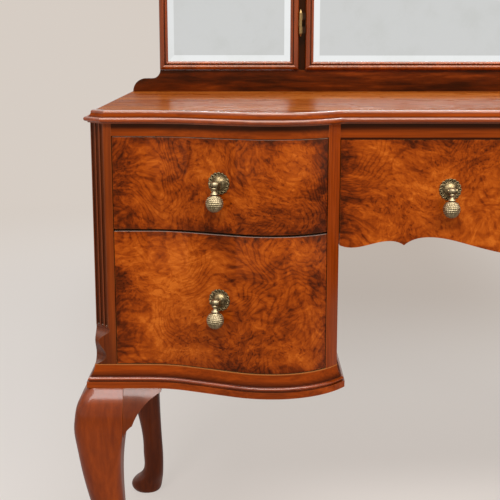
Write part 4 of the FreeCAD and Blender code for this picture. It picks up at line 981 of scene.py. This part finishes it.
@dataclass
class Carcase:
    """The top, the pedestals and what joins them."""

    nodes: Nodes
    bead_foot: float = 0.0100
    bead_top: float = 0.0153
    lit_edge: float = 0.0010
    lip_bead_top: float = 0.0080
    lip_round_foot: float = 0.0132
    shade_depth: float = 0.0130
    gap_shade: float = 0.0028
    post_shade: float = 0.110
    # Lighter and darker copies of one walnut for each kind of piece: painted light and shade, set to how
    # bright each piece shows.
    lipping_tone: float = 1.9
    rail_tone: float = 1.5
    side_tone: float = 1.2
    post_tone: float = 1.08
    stile_tone: float = 1.85
    plinth_tone: float = 1.75
    plain: Stops = StraightVeneer.stops
    top_stops: Stops = (
        (0.16, (0.100, 0.0150, 0.0010)),
        (0.40, (0.245, 0.0520, 0.0050)),
        (0.58, (0.340, 0.0880, 0.0120)),
        (0.84, (0.520, 0.1720, 0.0380)),
    )

    def build(self) -> None:
        """Dress every piece of the carcase."""
        self.dress_top()
        self.dress_lipping()
        self.dress_rails()
        self.dress_uprights()
        self.dress_plinths()
        self.dress_linings()

    def dress_top(self) -> None:
        """Dress the board of the top in broad, long figure under a thin polish."""
        top = StraightVeneer(
            Axis.X,
            stops=self.top_stops,
            seed=1.7,
            streaks=130.0,
            bands=15.0,
            stretch=0.11,
            relief=0.00001,
            polish=Polish(roughness=0.30, gloss=0.003, tint=(1.0, 0.82, 0.62), coat=0.0, wear=0.1),
        )
        dress(["table_top"], self.nodes, top.make("walnut_top"))

    def dress_lipping(self) -> None:
        """Dress the moulding of the top: bright on its bead and round, matt between them, with painted shade
        at the foot of the hollow.
        """
        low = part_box("top_lipping")[0].z
        # The hollow carries painted shade at its foot.
        polish = Polish(
            roughness=0.15,
            spread=0.03,
            gloss=0.30,
            coat=0.90,
            coat_roughness=0.08,
            hollow=Hollow(low + self.lip_bead_top, low + self.lip_round_foot, shade_height=0.0030),
        )
        stops = scaled(self.plain, self.lipping_tone)
        lipping = StraightVeneer(Axis.X, stops, seed=2.3, relief=0.00001, polish=polish)
        dress(["top_lipping"], self.nodes, lipping.make("walnut_lipping"))

    def dress_rails(self) -> None:
        """Dress the rails, with painted shadow under the lip and along the gap above the centre drawer."""
        for name, gaps in (("pedestal_top_rails", 0), ("centre_top_rail", 1)):
            low, high = (corner.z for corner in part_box(name))
            # Painted shadow under the lip, and on the centre rail along the gap below it.
            bands = [(high - self.shade_depth, high - self.shade_depth / 3)]
            bands += [(low + self.gap_shade, low + self.gap_shade / 2)] * gaps
            polish = Polish(shade_bands=tuple(bands))
            rail = StraightVeneer(Axis.X, scaled(self.plain, self.rail_tone), polish=polish)
            dress([name], self.nodes, rail.make(f"walnut_{name}"))

    def dress_uprights(self) -> None:
        """Dress the sides, the fluted posts, with painted shade in the flutes and towards the foot, and the
        stiles.
        """
        sides = StraightVeneer(Axis.Z, scaled(self.plain, self.side_tone), seed=3.1)
        dress(both("outer_side") + both("inner_side"), self.nodes, sides.make("walnut_sides"))
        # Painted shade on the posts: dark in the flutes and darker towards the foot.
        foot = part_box("left_corner_post")[0].z
        wear_and_painted_light = Polish(
            coat=0.30,
            coat_roughness=0.14,
            painted_shade=(0.05, 0.03, 0.02),
            clean_from=(0.42, 0.98),
            shade_bands=((foot + self.post_shade, foot - self.post_shade),),
        )
        posts = StraightVeneer(Axis.Z, scaled(self.plain, self.post_tone), seed=3.1, polish=wear_and_painted_light)
        dress(both("corner_post"), self.nodes, posts.make("walnut_corner_post"))
        clean = Polish(coat=0.38, coat_roughness=0.20)
        stiles = StraightVeneer(Axis.Z, scaled(self.plain, self.stile_tone), seed=6.4, polish=clean)
        dress(both("inner_stile"), self.nodes, stiles.make("walnut_inner_stile"))

    def dress_plinths(self) -> None:
        """Dress the plinths: bright on the bead, matt in the cove above it with painted shade at its foot,
        and a painted highlight along the top.
        """
        low, high = (corner.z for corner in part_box("left_plinth"))
        past_top = high + self.bead_top
        # Painted highlight: a pale band along the plinth's top edge, in the wear colour.
        polish = Polish(
            roughness=0.18,
            spread=0.03,
            tint=(1.0, 0.66, 0.40),
            coat=1.0,
            coat_roughness=0.14,
            hollow=Hollow(low + self.bead_top, past_top, dull_below=low + self.bead_foot, dull_coat=0.10),
            lit_above=high - self.lit_edge,
        )
        stops = scaled(self.plain, self.plinth_tone)
        plinth = StraightVeneer(Axis.X, stops, seed=1.2, relief=0.00002, polish=polish)
        dress(both("plinth"), self.nodes, plinth.make("walnut_plinth"))

    def dress_linings(self) -> None:
        """Dress the plain pieces inside and behind."""
        dress(["drawer_runners"], self.nodes, PlainTimber(Axis.Y).make("lining_depthwise"))
        across = PlainTimber(Axis.X).make("lining_across")
        dress(["pedestal_floors", "dust_boards", "centre_back_rail"], self.nodes, across)
        backing = PlainTimber(Axis.Z, pale=(0.42, 0.200, 0.075), dark=(0.25, 0.105, 0.036))
        dress(["pedestal_backs"], self.nodes, backing.make("backing_board"))


@dataclass
class Legs:
    """Four cabriole legs and their knee brackets."""

    nodes: Nodes
    stops: Stops = (
        (0.00, (0.085, 0.0105, 0.0006)),
        (0.40, (0.170, 0.0225, 0.0009)),
        (0.68, (0.255, 0.0370, 0.0014)),
        (1.00, (0.360, 0.0580, 0.0030)),
    )

    def build(self) -> None:
        """Dress the front legs, the darker brackets and the rear legs, darkened as painted shade."""
        polish = Polish(roughness=0.36, gloss=0.10, coat=0.48, coat_roughness=0.15)
        front, rear = ([f"{end}_{side.value}_leg" for side in Side] for end in ("front", "rear"))
        # The rear legs' copy of the walnut is darkened as painted shade.
        for name, factor, pieces in (
            ("leg_walnut", 1.0, front),
            ("bracket_walnut", 0.66, ["knee_brackets"]),
            ("rear_leg_walnut_painted_shade", 0.52, rear),
        ):
            veneer = StraightVeneer(
                Axis.Z,
                stops=scaled(self.stops, factor),
                seed=5.3,
                streaks=150.0,
                bands=30.0,
                stretch=0.16,
                polish=polish,
            )
            dress(pieces, self.nodes, veneer.make(name))


def handle_seat(joint: dict) -> Matrix:
    """Where a handle sits by its pendant's joint: its pin at the origin along X, its plate behind."""
    turn = math.atan2(-joint["axis"][1], -joint["axis"][0])
    return Matrix.Translation(joint["pos_m"]) @ Matrix.Rotation(turn, 4, "Z")


@dataclass(frozen=True)
class PendantShape:
    """A pear-drop pendant with a stippled ball, hung from a pin at the origin along X."""

    eye_radius: float = 0.0042
    eye_half: float = 0.0048
    eye_sides: int = 40
    eye_round: float = 0.0006
    eye_round_steps: int = 3
    rim_angle: float = 1.0
    neck_radius: float = 0.0025
    neck_foot: float = 0.0036
    flange_radius: float = 0.0044
    flange_top: float = 0.0044
    flange_foot: float = 0.0054
    stem_top: Span = (0.00275, 0.0066)
    stem_waist: Span = (0.0025, 0.0078)
    stem_foot: Span = (0.0028, 0.0088)
    shoulder: Span = (0.00363, 0.0110)
    collar_radius: float = 0.0055
    collar_top: float = 0.0124
    collar_foot: float = 0.0132
    groove_radius: float = 0.0033
    groove_top: float = 0.0139
    groove_foot: float = 0.0143
    cap_radius: float = 0.0066
    cap_height: float = 0.0006
    ball_radius: float = 0.0115
    ball_drop: float = 0.0254
    ball_rings: int = 90
    dot_pitch: float = 0.0027
    dot_height: float = 0.0009
    dot_width: float = 0.0013
    turns: int = 120

    def profile(self) -> list[Span]:
        """The outline from the pin down to the ball: neck, flange, stem, collar, groove and cap.

        Returns:
            Radius and drop of each point.
        """
        cap_drop = self.ball_drop - math.sqrt(self.ball_radius**2 - self.cap_radius**2)
        return [
            (self.neck_radius, 0.0),
            (self.neck_radius, self.neck_foot),
            (self.flange_radius, self.flange_top),
            (self.flange_radius, self.flange_foot),
            self.stem_top,
            self.stem_waist,
            self.stem_foot,
            self.shoulder,
            (self.collar_radius, self.collar_top),
            (self.collar_radius, self.collar_foot),
            (self.groove_radius, self.groove_top),
            (self.groove_radius, self.groove_foot),
            (self.cap_radius, cap_drop - self.cap_height),
            (self.cap_radius, cap_drop),
        ]

    def ball_points(self) -> list[Span]:
        """The ball's outline below its cap.

        Returns:
            Radius and drop of each point.
        """
        start = math.asin(self.cap_radius / self.ball_radius)
        tilts = [start + (math.pi - start) * index / self.ball_rings for index in range(1, self.ball_rings)]
        radius = self.ball_radius
        return [(radius * math.sin(tilt), self.ball_drop - radius * math.cos(tilt)) for tilt in tilts]

    def stipple(self, points: np.ndarray) -> np.ndarray:
        """Raise rows of small dots on the ball.

        Args:
            points: the ball's points round its own centre.

        Returns:
            The raised points.
        """
        rows = round(math.pi * self.ball_radius / self.dot_pitch)
        seats = []
        for row in range(rows):
            tilt = math.pi * (row + 0.5) / rows
            across = math.sin(tilt)
            count = round(2 * math.pi * self.ball_radius * across / self.dot_pitch)
            for dot in range(count):
                turn = 2 * math.pi * (dot + row % 2 / 2) / count
                seats.append((across * math.cos(turn), across * math.sin(turn), math.cos(tilt)))
        outward = points / np.linalg.norm(points, axis=1, keepdims=True)
        nearest = (outward @ np.array(seats).T).max(axis=1)
        away = np.sqrt(np.maximum(0.0, 2 - 2 * nearest)) * self.ball_radius
        rise = self.dot_height * np.clip(1 - (away / self.dot_width) ** 2, 0, 1)
        return points + outward * rise[:, None]

    def turned(self, outline: Sequence[Span]) -> np.ndarray:
        """Turn an outline round the drop's axis.

        Args:
            outline: radius and drop of each point.

        Returns:
            The points, ring by ring.
        """
        angles = np.arange(self.turns) * 2 * math.pi / self.turns
        radius, drop = np.array(outline).T[:, :, None]
        heights = np.repeat(-drop, self.turns, axis=1)
        return np.stack([radius * np.cos(angles), radius * np.sin(angles), heights], axis=-1).reshape(-1, 3)

    def add_drop(self, work: bmesh.types.BMesh) -> None:
        """Lathe the drop and stipple its ball.

        Args:
            work: the geometry being made.
        """
        centre = np.array((0.0, 0.0, -self.ball_drop))
        ball = self.stipple(self.turned(self.ball_points()) - centre) + centre
        verts = [work.verts.new(point) for point in np.concatenate([self.turned(self.profile()), ball])]
        rings = [verts[first:first + self.turns] for first in range(0, len(verts), self.turns)]
        top = work.verts.new((0.0, 0.0, 0.0))
        tip = work.verts.new((0.0, 0.0, -self.ball_drop - self.ball_radius))
        for turn in range(self.turns):
            after = (turn + 1) % self.turns
            for upper, lower in zip(rings, rings[1:]):
                work.faces.new((upper[turn], lower[turn], lower[after], upper[after]))
            work.faces.new((top, rings[0][turn], rings[0][after]))
            work.faces.new((tip, rings[-1][after], rings[-1][turn]))

    def add_eye(self, work: bmesh.types.BMesh) -> None:
        """Add the eye that the pin goes through, with rounded rims.

        Args:
            work: the geometry being made.
        """
        eye = bmesh.ops.create_cone(
            work,
            cap_ends=True,
            segments=self.eye_sides,
            radius1=self.eye_radius,
            radius2=self.eye_radius,
            depth=2 * self.eye_half,
            matrix=Matrix.Rotation(math.pi / 2, 4, "Y"),
        )
        edges = dict.fromkeys(edge for vert in eye["verts"] for edge in vert.link_edges)
        rims = [edge for edge in edges if edge.calc_face_angle() > self.rim_angle]
        bmesh.ops.bevel(work, geom=rims, offset=self.eye_round, segments=self.eye_round_steps, affect="EDGES")

    def mesh(self, name: str) -> bpy.types.Mesh:
        """Build the pendant.

        Args:
            name: the mesh's name.

        Returns:
            The mesh.
        """
        work = bmesh.new()
        self.add_drop(work)
        self.add_eye(work)
        bmesh.ops.recalc_face_normals(work, faces=work.faces)
        return smooth_mesh(work, name)


@dataclass(frozen=True)
class RosetteShape:
    """Raised detail on a handle's plate: an eyelet round each piercing and a ring round the dome."""

    eyelets: int = 16
    eyelet_ring: float = 0.0132
    eyelet_radius: float = 0.0018
    eyelet_thickness: float = 0.0006
    dome_ring: float = 0.0097
    dome_thickness: float = 0.0007
    plate_thickness: float = 0.0016
    turns: int = 48
    sides: int = 10

    def mesh(self, name: str, face: float) -> bpy.types.Mesh:
        """Build the eyelets and the ring.

        Args:
            name: the mesh's name.
            face: where the drawer's face lies along Y.

        Returns:
            The mesh.
        """
        work = bmesh.new()
        front = face - self.plate_thickness
        self.add_ring(work, Vector((0.0, front, 0.0)), self.dome_ring, self.dome_thickness)
        for index in range(self.eyelets):
            turn = 2 * math.pi * index / self.eyelets
            spot = Vector((math.cos(turn), 0.0, math.sin(turn))) * self.eyelet_ring
            spot.y = front
            self.add_ring(work, spot, self.eyelet_radius, self.eyelet_thickness)
        bmesh.ops.recalc_face_normals(work, faces=work.faces)
        return smooth_mesh(work, name)

    def add_ring(self, work: bmesh.types.BMesh, centre: Vector, radius: float, thickness: float) -> None:
        """Add one round ring in the plate's plane.

        Args:
            work: the geometry being made.
            centre: the ring's middle, on the plate's face.
            radius: radius of the ring's middle line.
            thickness: radius of its section.
        """
        grid = []
        for turn in range(self.turns):
            angle = 2 * math.pi * turn / self.turns
            row = []
            for side in range(self.sides):
                tilt = 2 * math.pi * side / self.sides
                reach = radius + thickness * math.cos(tilt)
                spot = Vector((reach * math.cos(angle), -thickness * math.sin(tilt), reach * math.sin(angle)))
                row.append(work.verts.new(centre + spot))
            grid.append(row)
        for turn in range(self.turns):
            for side in range(self.sides):
                corners = [(turn, side), (turn + 1, side), (turn + 1, side + 1), (turn, side + 1)]
                work.faces.new([grid[a % self.turns][b % self.sides] for a, b in corners])


@dataclass
class Handles:
    """The brass handles: plates from the frame, with new pendants and raised rosettes."""

    nodes: Nodes
    joints: list[dict]
    brass: bpy.types.Material
    rubbed: bpy.types.Material
    reach: float = 0.016
    pendant: PendantShape = PendantShape()
    rosette: RosetteShape = RosetteShape()

    def add(self, name: str, mesh: bpy.types.Mesh, seat: Matrix, body: str) -> bpy.types.Object:
        """Place one brass piece on a body.

        Args:
            name: the piece's name.
            mesh: its mesh.
            seat: its matrix.
            body: the body it rides on.

        Returns:
            The new object.
        """
        piece = put(name, mesh)
        piece.matrix_world = seat
        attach(piece, body)
        LOG.info("%s rides on %s", name, body)
        return piece

    def build(self) -> None:
        """Dress the plates and hang a pendant on each."""
        *pedestal_stems, centre = drawer_stems()
        plates = [f"{stem}_handle" for stem in pedestal_stems] + [f"{centre}_handles"]
        dress(plates, self.nodes, self.brass)
        drop = self.pendant.mesh("pear_drop")
        relief = self.rosette.mesh("rosette_relief", self.reach)
        drop.materials.append(self.rubbed)
        relief.materials.append(self.brass)
        for joint in self.joints:
            if not joint["name"].endswith(PENDANT_SWING):
                continue
            stem = joint["name"].removesuffix(PENDANT_SWING)
            seat = handle_seat(joint)
            piece = self.add(f"{stem}_pear_drop", drop, seat, joint["child"])
            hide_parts(f"{stem}_pendant")
            self.add(f"{stem}_rosette_relief", relief, seat, joint["parent"])


@dataclass
class Drawers:
    """Five drawers: burr fronts and plain boxes."""

    nodes: Nodes
    joints: list[dict]
    plate_depth: float = 0.016
    eased: float = 0.0008
    eased_steps: int = 2
    eased_angle: float = 40.0
    join_within: float = 1e-5
    painted_gap_shadow: Colour = (0.030, 0.012, 0.006)
    seed_step: Triple = (1.37, 0.61, 0.83)
    lifts: dict[str, float] = field(default_factory=lambda: {"upper": -0.06, "lower": 0.03, "centre": 0.08})

    def build(self) -> None:
        """Dress each front in its own leaf of burr and each box in plain timber."""
        lining = PlainTimber(Axis.Y).make("drawer_lining")
        for index, stem in enumerate(drawer_stems()):
            front = f"{stem}_drawer_front"
            low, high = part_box(front)
            lift = self.lifts[stem.split("_")[-1]]
            veneer = BurrVeneer(low, high, Vector(self.seed_step) * index, lift, self.plates(stem))
            # The centre drawer's top edge gets a painted gap shadow in place of the highlight.
            if stem == "centre":
                veneer = replace(veneer, painted_top_edge=self.painted_gap_shadow)
            dress([front], self.nodes, veneer.make(f"burr_{stem}"))
            dress([f"{stem}_drawer_box"], self.nodes, lining)
            self.ease(self.nodes[front])

    def plates(self, stem: str) -> tuple[Vector, ...]:
        """Where the handles' plates sit on a front.

        Args:
            stem: the drawer's name.

        Returns:
            The middle of each plate, on the drawer's face.
        """
        own = [joint for joint in self.joints if joint["parent"] == f"{stem}_drawer"]
        swings = [joint for joint in own if joint["name"].endswith(PENDANT_SWING)]
        return tuple(handle_seat(joint) @ Vector((0.0, self.plate_depth, 0.0)) for joint in swings)

    def ease(self, front: bpy.types.Object) -> None:
        """Take the sharpness off a front's edges with modifiers.

        Args:
            front: the front's node.
        """
        join = front.modifiers.new("join_faces", "WELD")
        join.merge_threshold = self.join_within
        arris = front.modifiers.new("eased_edges", "BEVEL")
        arris.width = self.eased
        arris.segments = self.eased_steps
        arris.limit_method = "ANGLE"
        arris.angle_limit = math.radians(self.eased_angle)
        arris.harden_normals = False


@dataclass
class Mirrors:
    """The base board, the standards and three framed mirrors."""

    nodes: Nodes
    joints: list[dict]
    brass: bpy.types.Material
    standard_painted_shade: float = 0.15
    stops: Stops = (
        (0.00, (0.075, 0.0110, 0.0008)),
        (0.40, (0.215, 0.0310, 0.0012)),
        (0.68, (0.370, 0.0590, 0.0019)),
        (1.00, (0.520, 0.1000, 0.0055)),
    )
    board_stops: Stops = (
        (0.14, (0.008, 0.0012, 0.0003)),
        (0.42, (0.040, 0.0054, 0.0005)),
        (0.62, (0.122, 0.0170, 0.0010)),
        (0.92, (0.430, 0.0740, 0.0060)),
    )

    def build(self) -> None:
        """Dress the frames, the plates, the backs and the brass."""
        glossy = Polish(roughness=0.20, gloss=0.6, tint=(1.0, 0.78, 0.58))
        upright = StraightVeneer(Axis.Z, self.stops, seed=7.9, relief=0.00002, polish=glossy)
        # The standards are a much darker copy of the frame walnut: painted shade.
        standard = StraightVeneer(Axis.Z, scaled(self.stops, self.standard_painted_shade), seed=4.4)
        board = StraightVeneer(Axis.X, self.board_stops, seed=9.2, streaks=110.0, bands=30.0, stretch=0.12)
        backing = PlainTimber(Axis.Z, pale=(0.38, 0.178, 0.066), dark=(0.22, 0.095, 0.033))
        places = [joint["pos_m"] for joint in self.joints if joint["name"].endswith("_wing_swing")]
        hinge_brass = HingeBrass(tuple((place[0], place[1]) for place in places))
        for pieces, finish, name in (
            (["centre_mirror_frame"] + both("wing_frame"), upright, "frame_upright"),
            (["mirror_standards"], standard, "standard_upright"),
            (["mirror_base_board"], board, "board_across"),
            (["centre_mirror_glass"] + both("wing_glass"), SilveredGlass(), "silvered_glass"),
            (["centre_mirror_back"] + both("wing_back"), backing, "mirror_backing"),
            (["fixed_hinge_leaves"] + both("wing_hinges"), hinge_brass, "hinge_brass"),
        ):
            dress(pieces, self.nodes, finish.make(name))
        dress(["standard_screws"], self.nodes, self.brass)


@dataclass(frozen=True)
class Studio:
    """A pale floor that runs into a pale world, soft light and the photograph's camera."""

    eye: Triple = (-0.385, -1.6861, 0.873)
    pitch: float = 11.63
    focal_pixels: float = 1049.8
    frame_pixels: float = 500.0
    sensor: float = 36.0
    backdrop: Colour = (0.675, 0.610, 0.552)
    bright_wall: Colour = (0.97, 0.97, 0.96)
    dim_wall: Colour = (0.74, 0.70, 0.66)
    dim_turn: Span = (-0.4, 0.1)
    grey_wall: Colour = (0.72, 0.715, 0.70)
    grey_middle: float = 4.5
    grey_edges: Span = (23.0, 12.0)
    ceiling: Colour = (5.4, 5.35, 5.3)
    ceiling_rise: Span = (0.45, 1.0)
    daylight: tuple[float, float, float, float] = (1.0, 0.985, 0.965, 1.0)
    ambient: float = 0.30
    key_place: Triple = (0.25, -2.6, 3.2)
    key_aim: Triple = (0.0, 0.0, 0.6)
    key_size: Span = (4.8, 0.6)
    key_power: float = 124.0
    floor_radius: float = 40.0
    floor_sides: int = 96
    floor_colour: Colour = (0.80, 0.74, 0.69)
    floor_roughness: float = 0.95
    floor_near: Colour = (0.95, 0.885, 0.825)
    painted_floor_light: Colour = (1.03, 0.975, 0.93)
    left_edge: Span = (-1.0, -0.4)
    far_edge: Span = (0.9, 4.0)
    painted_floor_shadow: Colour = (0.73, 0.685, 0.65)
    behind_start: Span = (0.7, 1.9)
    behind_side: Span = (0.25, 1.1)
    floor_glow: float = 0.50
    glow_edge: Span = (1.2, 4.2)
    dim_ahead: float = 0.45
    dim_beside: float = 0.5
    ahead_turn: Span = (-0.2, -0.6)
    gloss_reach: Span = (6.0, 14.0)

    def build(self) -> None:
        """Set up the floor, the world, the lamp and the camera."""
        bpy.context.scene.view_settings.view_transform = "Standard"
        self.floor()
        self.world()
        self.lamp()
        self.camera()

    def floor(self) -> None:
        """A wide disc that fades into the world, dimmer near by in gloss and unseen far off in it."""
        work = bmesh.new()
        bmesh.ops.create_circle(work, cap_ends=True, segments=self.floor_sides, radius=self.floor_radius)
        disc = put("floor", smooth_mesh(work, "floor"))
        graph = Coating("floor")
        disc.data.materials.append(graph.material)
        plain = (*self.floor_colour, 1.0)
        graph.set(Base_Color=plain, Roughness=self.floor_roughness, Specular_IOR_Level=0.0)
        away = graph.vector("LENGTH", graph.place())
        _, y, _ = graph.parts(graph.place())
        glow = graph.node("ShaderNodeEmission")
        graph.link(self.floor_tone(graph, away), glow.inputs["Color"])
        share = graph.fade(away, *self.glow_edge, self.floor_glow, 1.0)
        shader = graph.blend(share, graph.shader.outputs["BSDF"], glow.outputs["Emission"])
        in_gloss = graph.node("ShaderNodeLightPath").outputs["Is Glossy Ray"]
        dim = graph.fade(graph.math("DIVIDE", y, away), *self.ahead_turn, self.dim_beside, self.dim_ahead)
        near = graph.fade(away, *self.gloss_reach, 1.0, 0.0)
        shader = graph.blend(graph.times(in_gloss, dim, near), shader)
        far = graph.times(in_gloss, graph.fade(away, *self.gloss_reach))
        shader = graph.blend(far, shader, graph.node("ShaderNodeBsdfTransparent").outputs["BSDF"])
        graph.link(shader, graph.output.inputs["Surface"])

    def floor_tone(self, graph: Coating, away: Socket) -> Socket:
        """The floor's own glow: paler on the left as painted light, darker behind the table as a painted
        shadow, the backdrop's far off.

        Args:
            graph: the floor's graph.
            away: distance from the table.

        Returns:
            The colour's socket.
        """
        x, y, _ = graph.parts(graph.place())
        # Painted light on the left of the floor, and a painted shadow behind the table.
        near = graph.mix(graph.fade(x, *self.left_edge), self.painted_floor_light, self.floor_near)
        colour = graph.mix(graph.fade(away, *self.far_edge), near, self.backdrop)
        beside = graph.fade(graph.math("ABSOLUTE", x), *self.behind_side, 1.0, 0.0)
        behind = graph.times(graph.fade(y, *self.behind_start), beside)
        return graph.mix(1.0, colour, graph.mix(behind, WHITE, self.painted_floor_shadow), "MULTIPLY")

    def world(self) -> None:
        """The backdrop to the eye, the studio's walls in gloss and a plain level of light."""
        world = bpy.data.worlds.new("studio")
        bpy.context.scene.world = world
        world.use_nodes = True
        graph = Graph(world.node_tree)
        direction = graph.node("ShaderNodeTexCoord").outputs["Generated"]
        _, back, up = graph.parts(direction)
        aim = math.radians(self.grey_middle)
        facing = graph.vector("DOT_PRODUCT", direction, (math.sin(aim), -math.cos(aim), 0.0))
        edges = [math.cos(math.radians(angle)) for angle in self.grey_edges]
        walls = graph.mix(graph.fade(facing, *edges), self.bright_wall, self.grey_wall)
        walls = graph.mix(graph.fade(back, *self.dim_turn), walls, self.dim_wall)
        walls = graph.mix(graph.fade(up, *self.ceiling_rise), walls, self.ceiling)
        path = graph.node("ShaderNodeLightPath").outputs
        mirrored = graph.math("MAXIMUM", path["Is Glossy Ray"], path["Is Transmission Ray"])
        shader = self.background(graph, self.daylight, self.ambient)
        for share, colour in ((mirrored, walls), (path["Is Camera Ray"], (*self.backdrop, 1.0))):
            shader = graph.blend(share, shader, self.background(graph, colour, 1.0))
        graph.link(shader, graph.node("ShaderNodeOutputWorld").inputs["Surface"])

    @staticmethod
    def background(graph: Graph, colour: object, strength: float) -> Socket:
        """A background of one colour.

        Args:
            graph: the world's graph.
            colour: four numbers or a socket.
            strength: its strength.

        Returns:
            The background's socket.
        """
        made = graph.node("ShaderNodeBackground")
        graph.feed(made.inputs["Color"], colour)
        made.inputs["Strength"].default_value = strength
        return made.outputs["Background"]

    def lamp(self) -> None:
        """A wide soft light above the front."""
        data = bpy.data.lights.new("key", "AREA")
        data.shape = "RECTANGLE"
        data.size, data.size_y = self.key_size
        data.energy = self.key_power
        lamp = put("key", data)
        lamp.location = self.key_place
        way = Vector(self.key_aim) - Vector(self.key_place)
        lamp.rotation_euler = way.to_track_quat("-Z", "Y").to_euler()

    def camera(self) -> None:
        """The camera fitted to the photograph."""
        data = bpy.data.cameras.new("camera")
        data.sensor_width = self.sensor
        data.lens = self.focal_pixels / self.frame_pixels * self.sensor
        camera = put("camera", data)
        camera.location = self.eye
        camera.rotation_euler = (math.radians(90 - self.pitch), 0.0, 0.0)
        bpy.context.scene.camera = camera


def main() -> None:
    """Load the frame, dress each sub-assembly and set up the studio."""
    logging.basicConfig(level=logging.INFO, format="%(name)s: %(message)s")
    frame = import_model()
    nodes, joints = frame["nodes"], frame["joints"]
    brass = AntiqueBrass().make("antique_brass")
    rubbed = AntiqueBrass(
        bright=(0.41, 0.325, 0.195), dull=(0.215, 0.163, 0.086), patina=(0.035, 0.022, 0.009), roughness=0.40
    ).make("rubbed_brass")
    Carcase(nodes).build()
    Legs(nodes).build()
    Drawers(nodes, joints).build()
    Handles(nodes, joints, brass, rubbed).build()
    Mirrors(nodes, joints, brass).build()
    Studio().build()


if __name__ == "__main__":
    main()
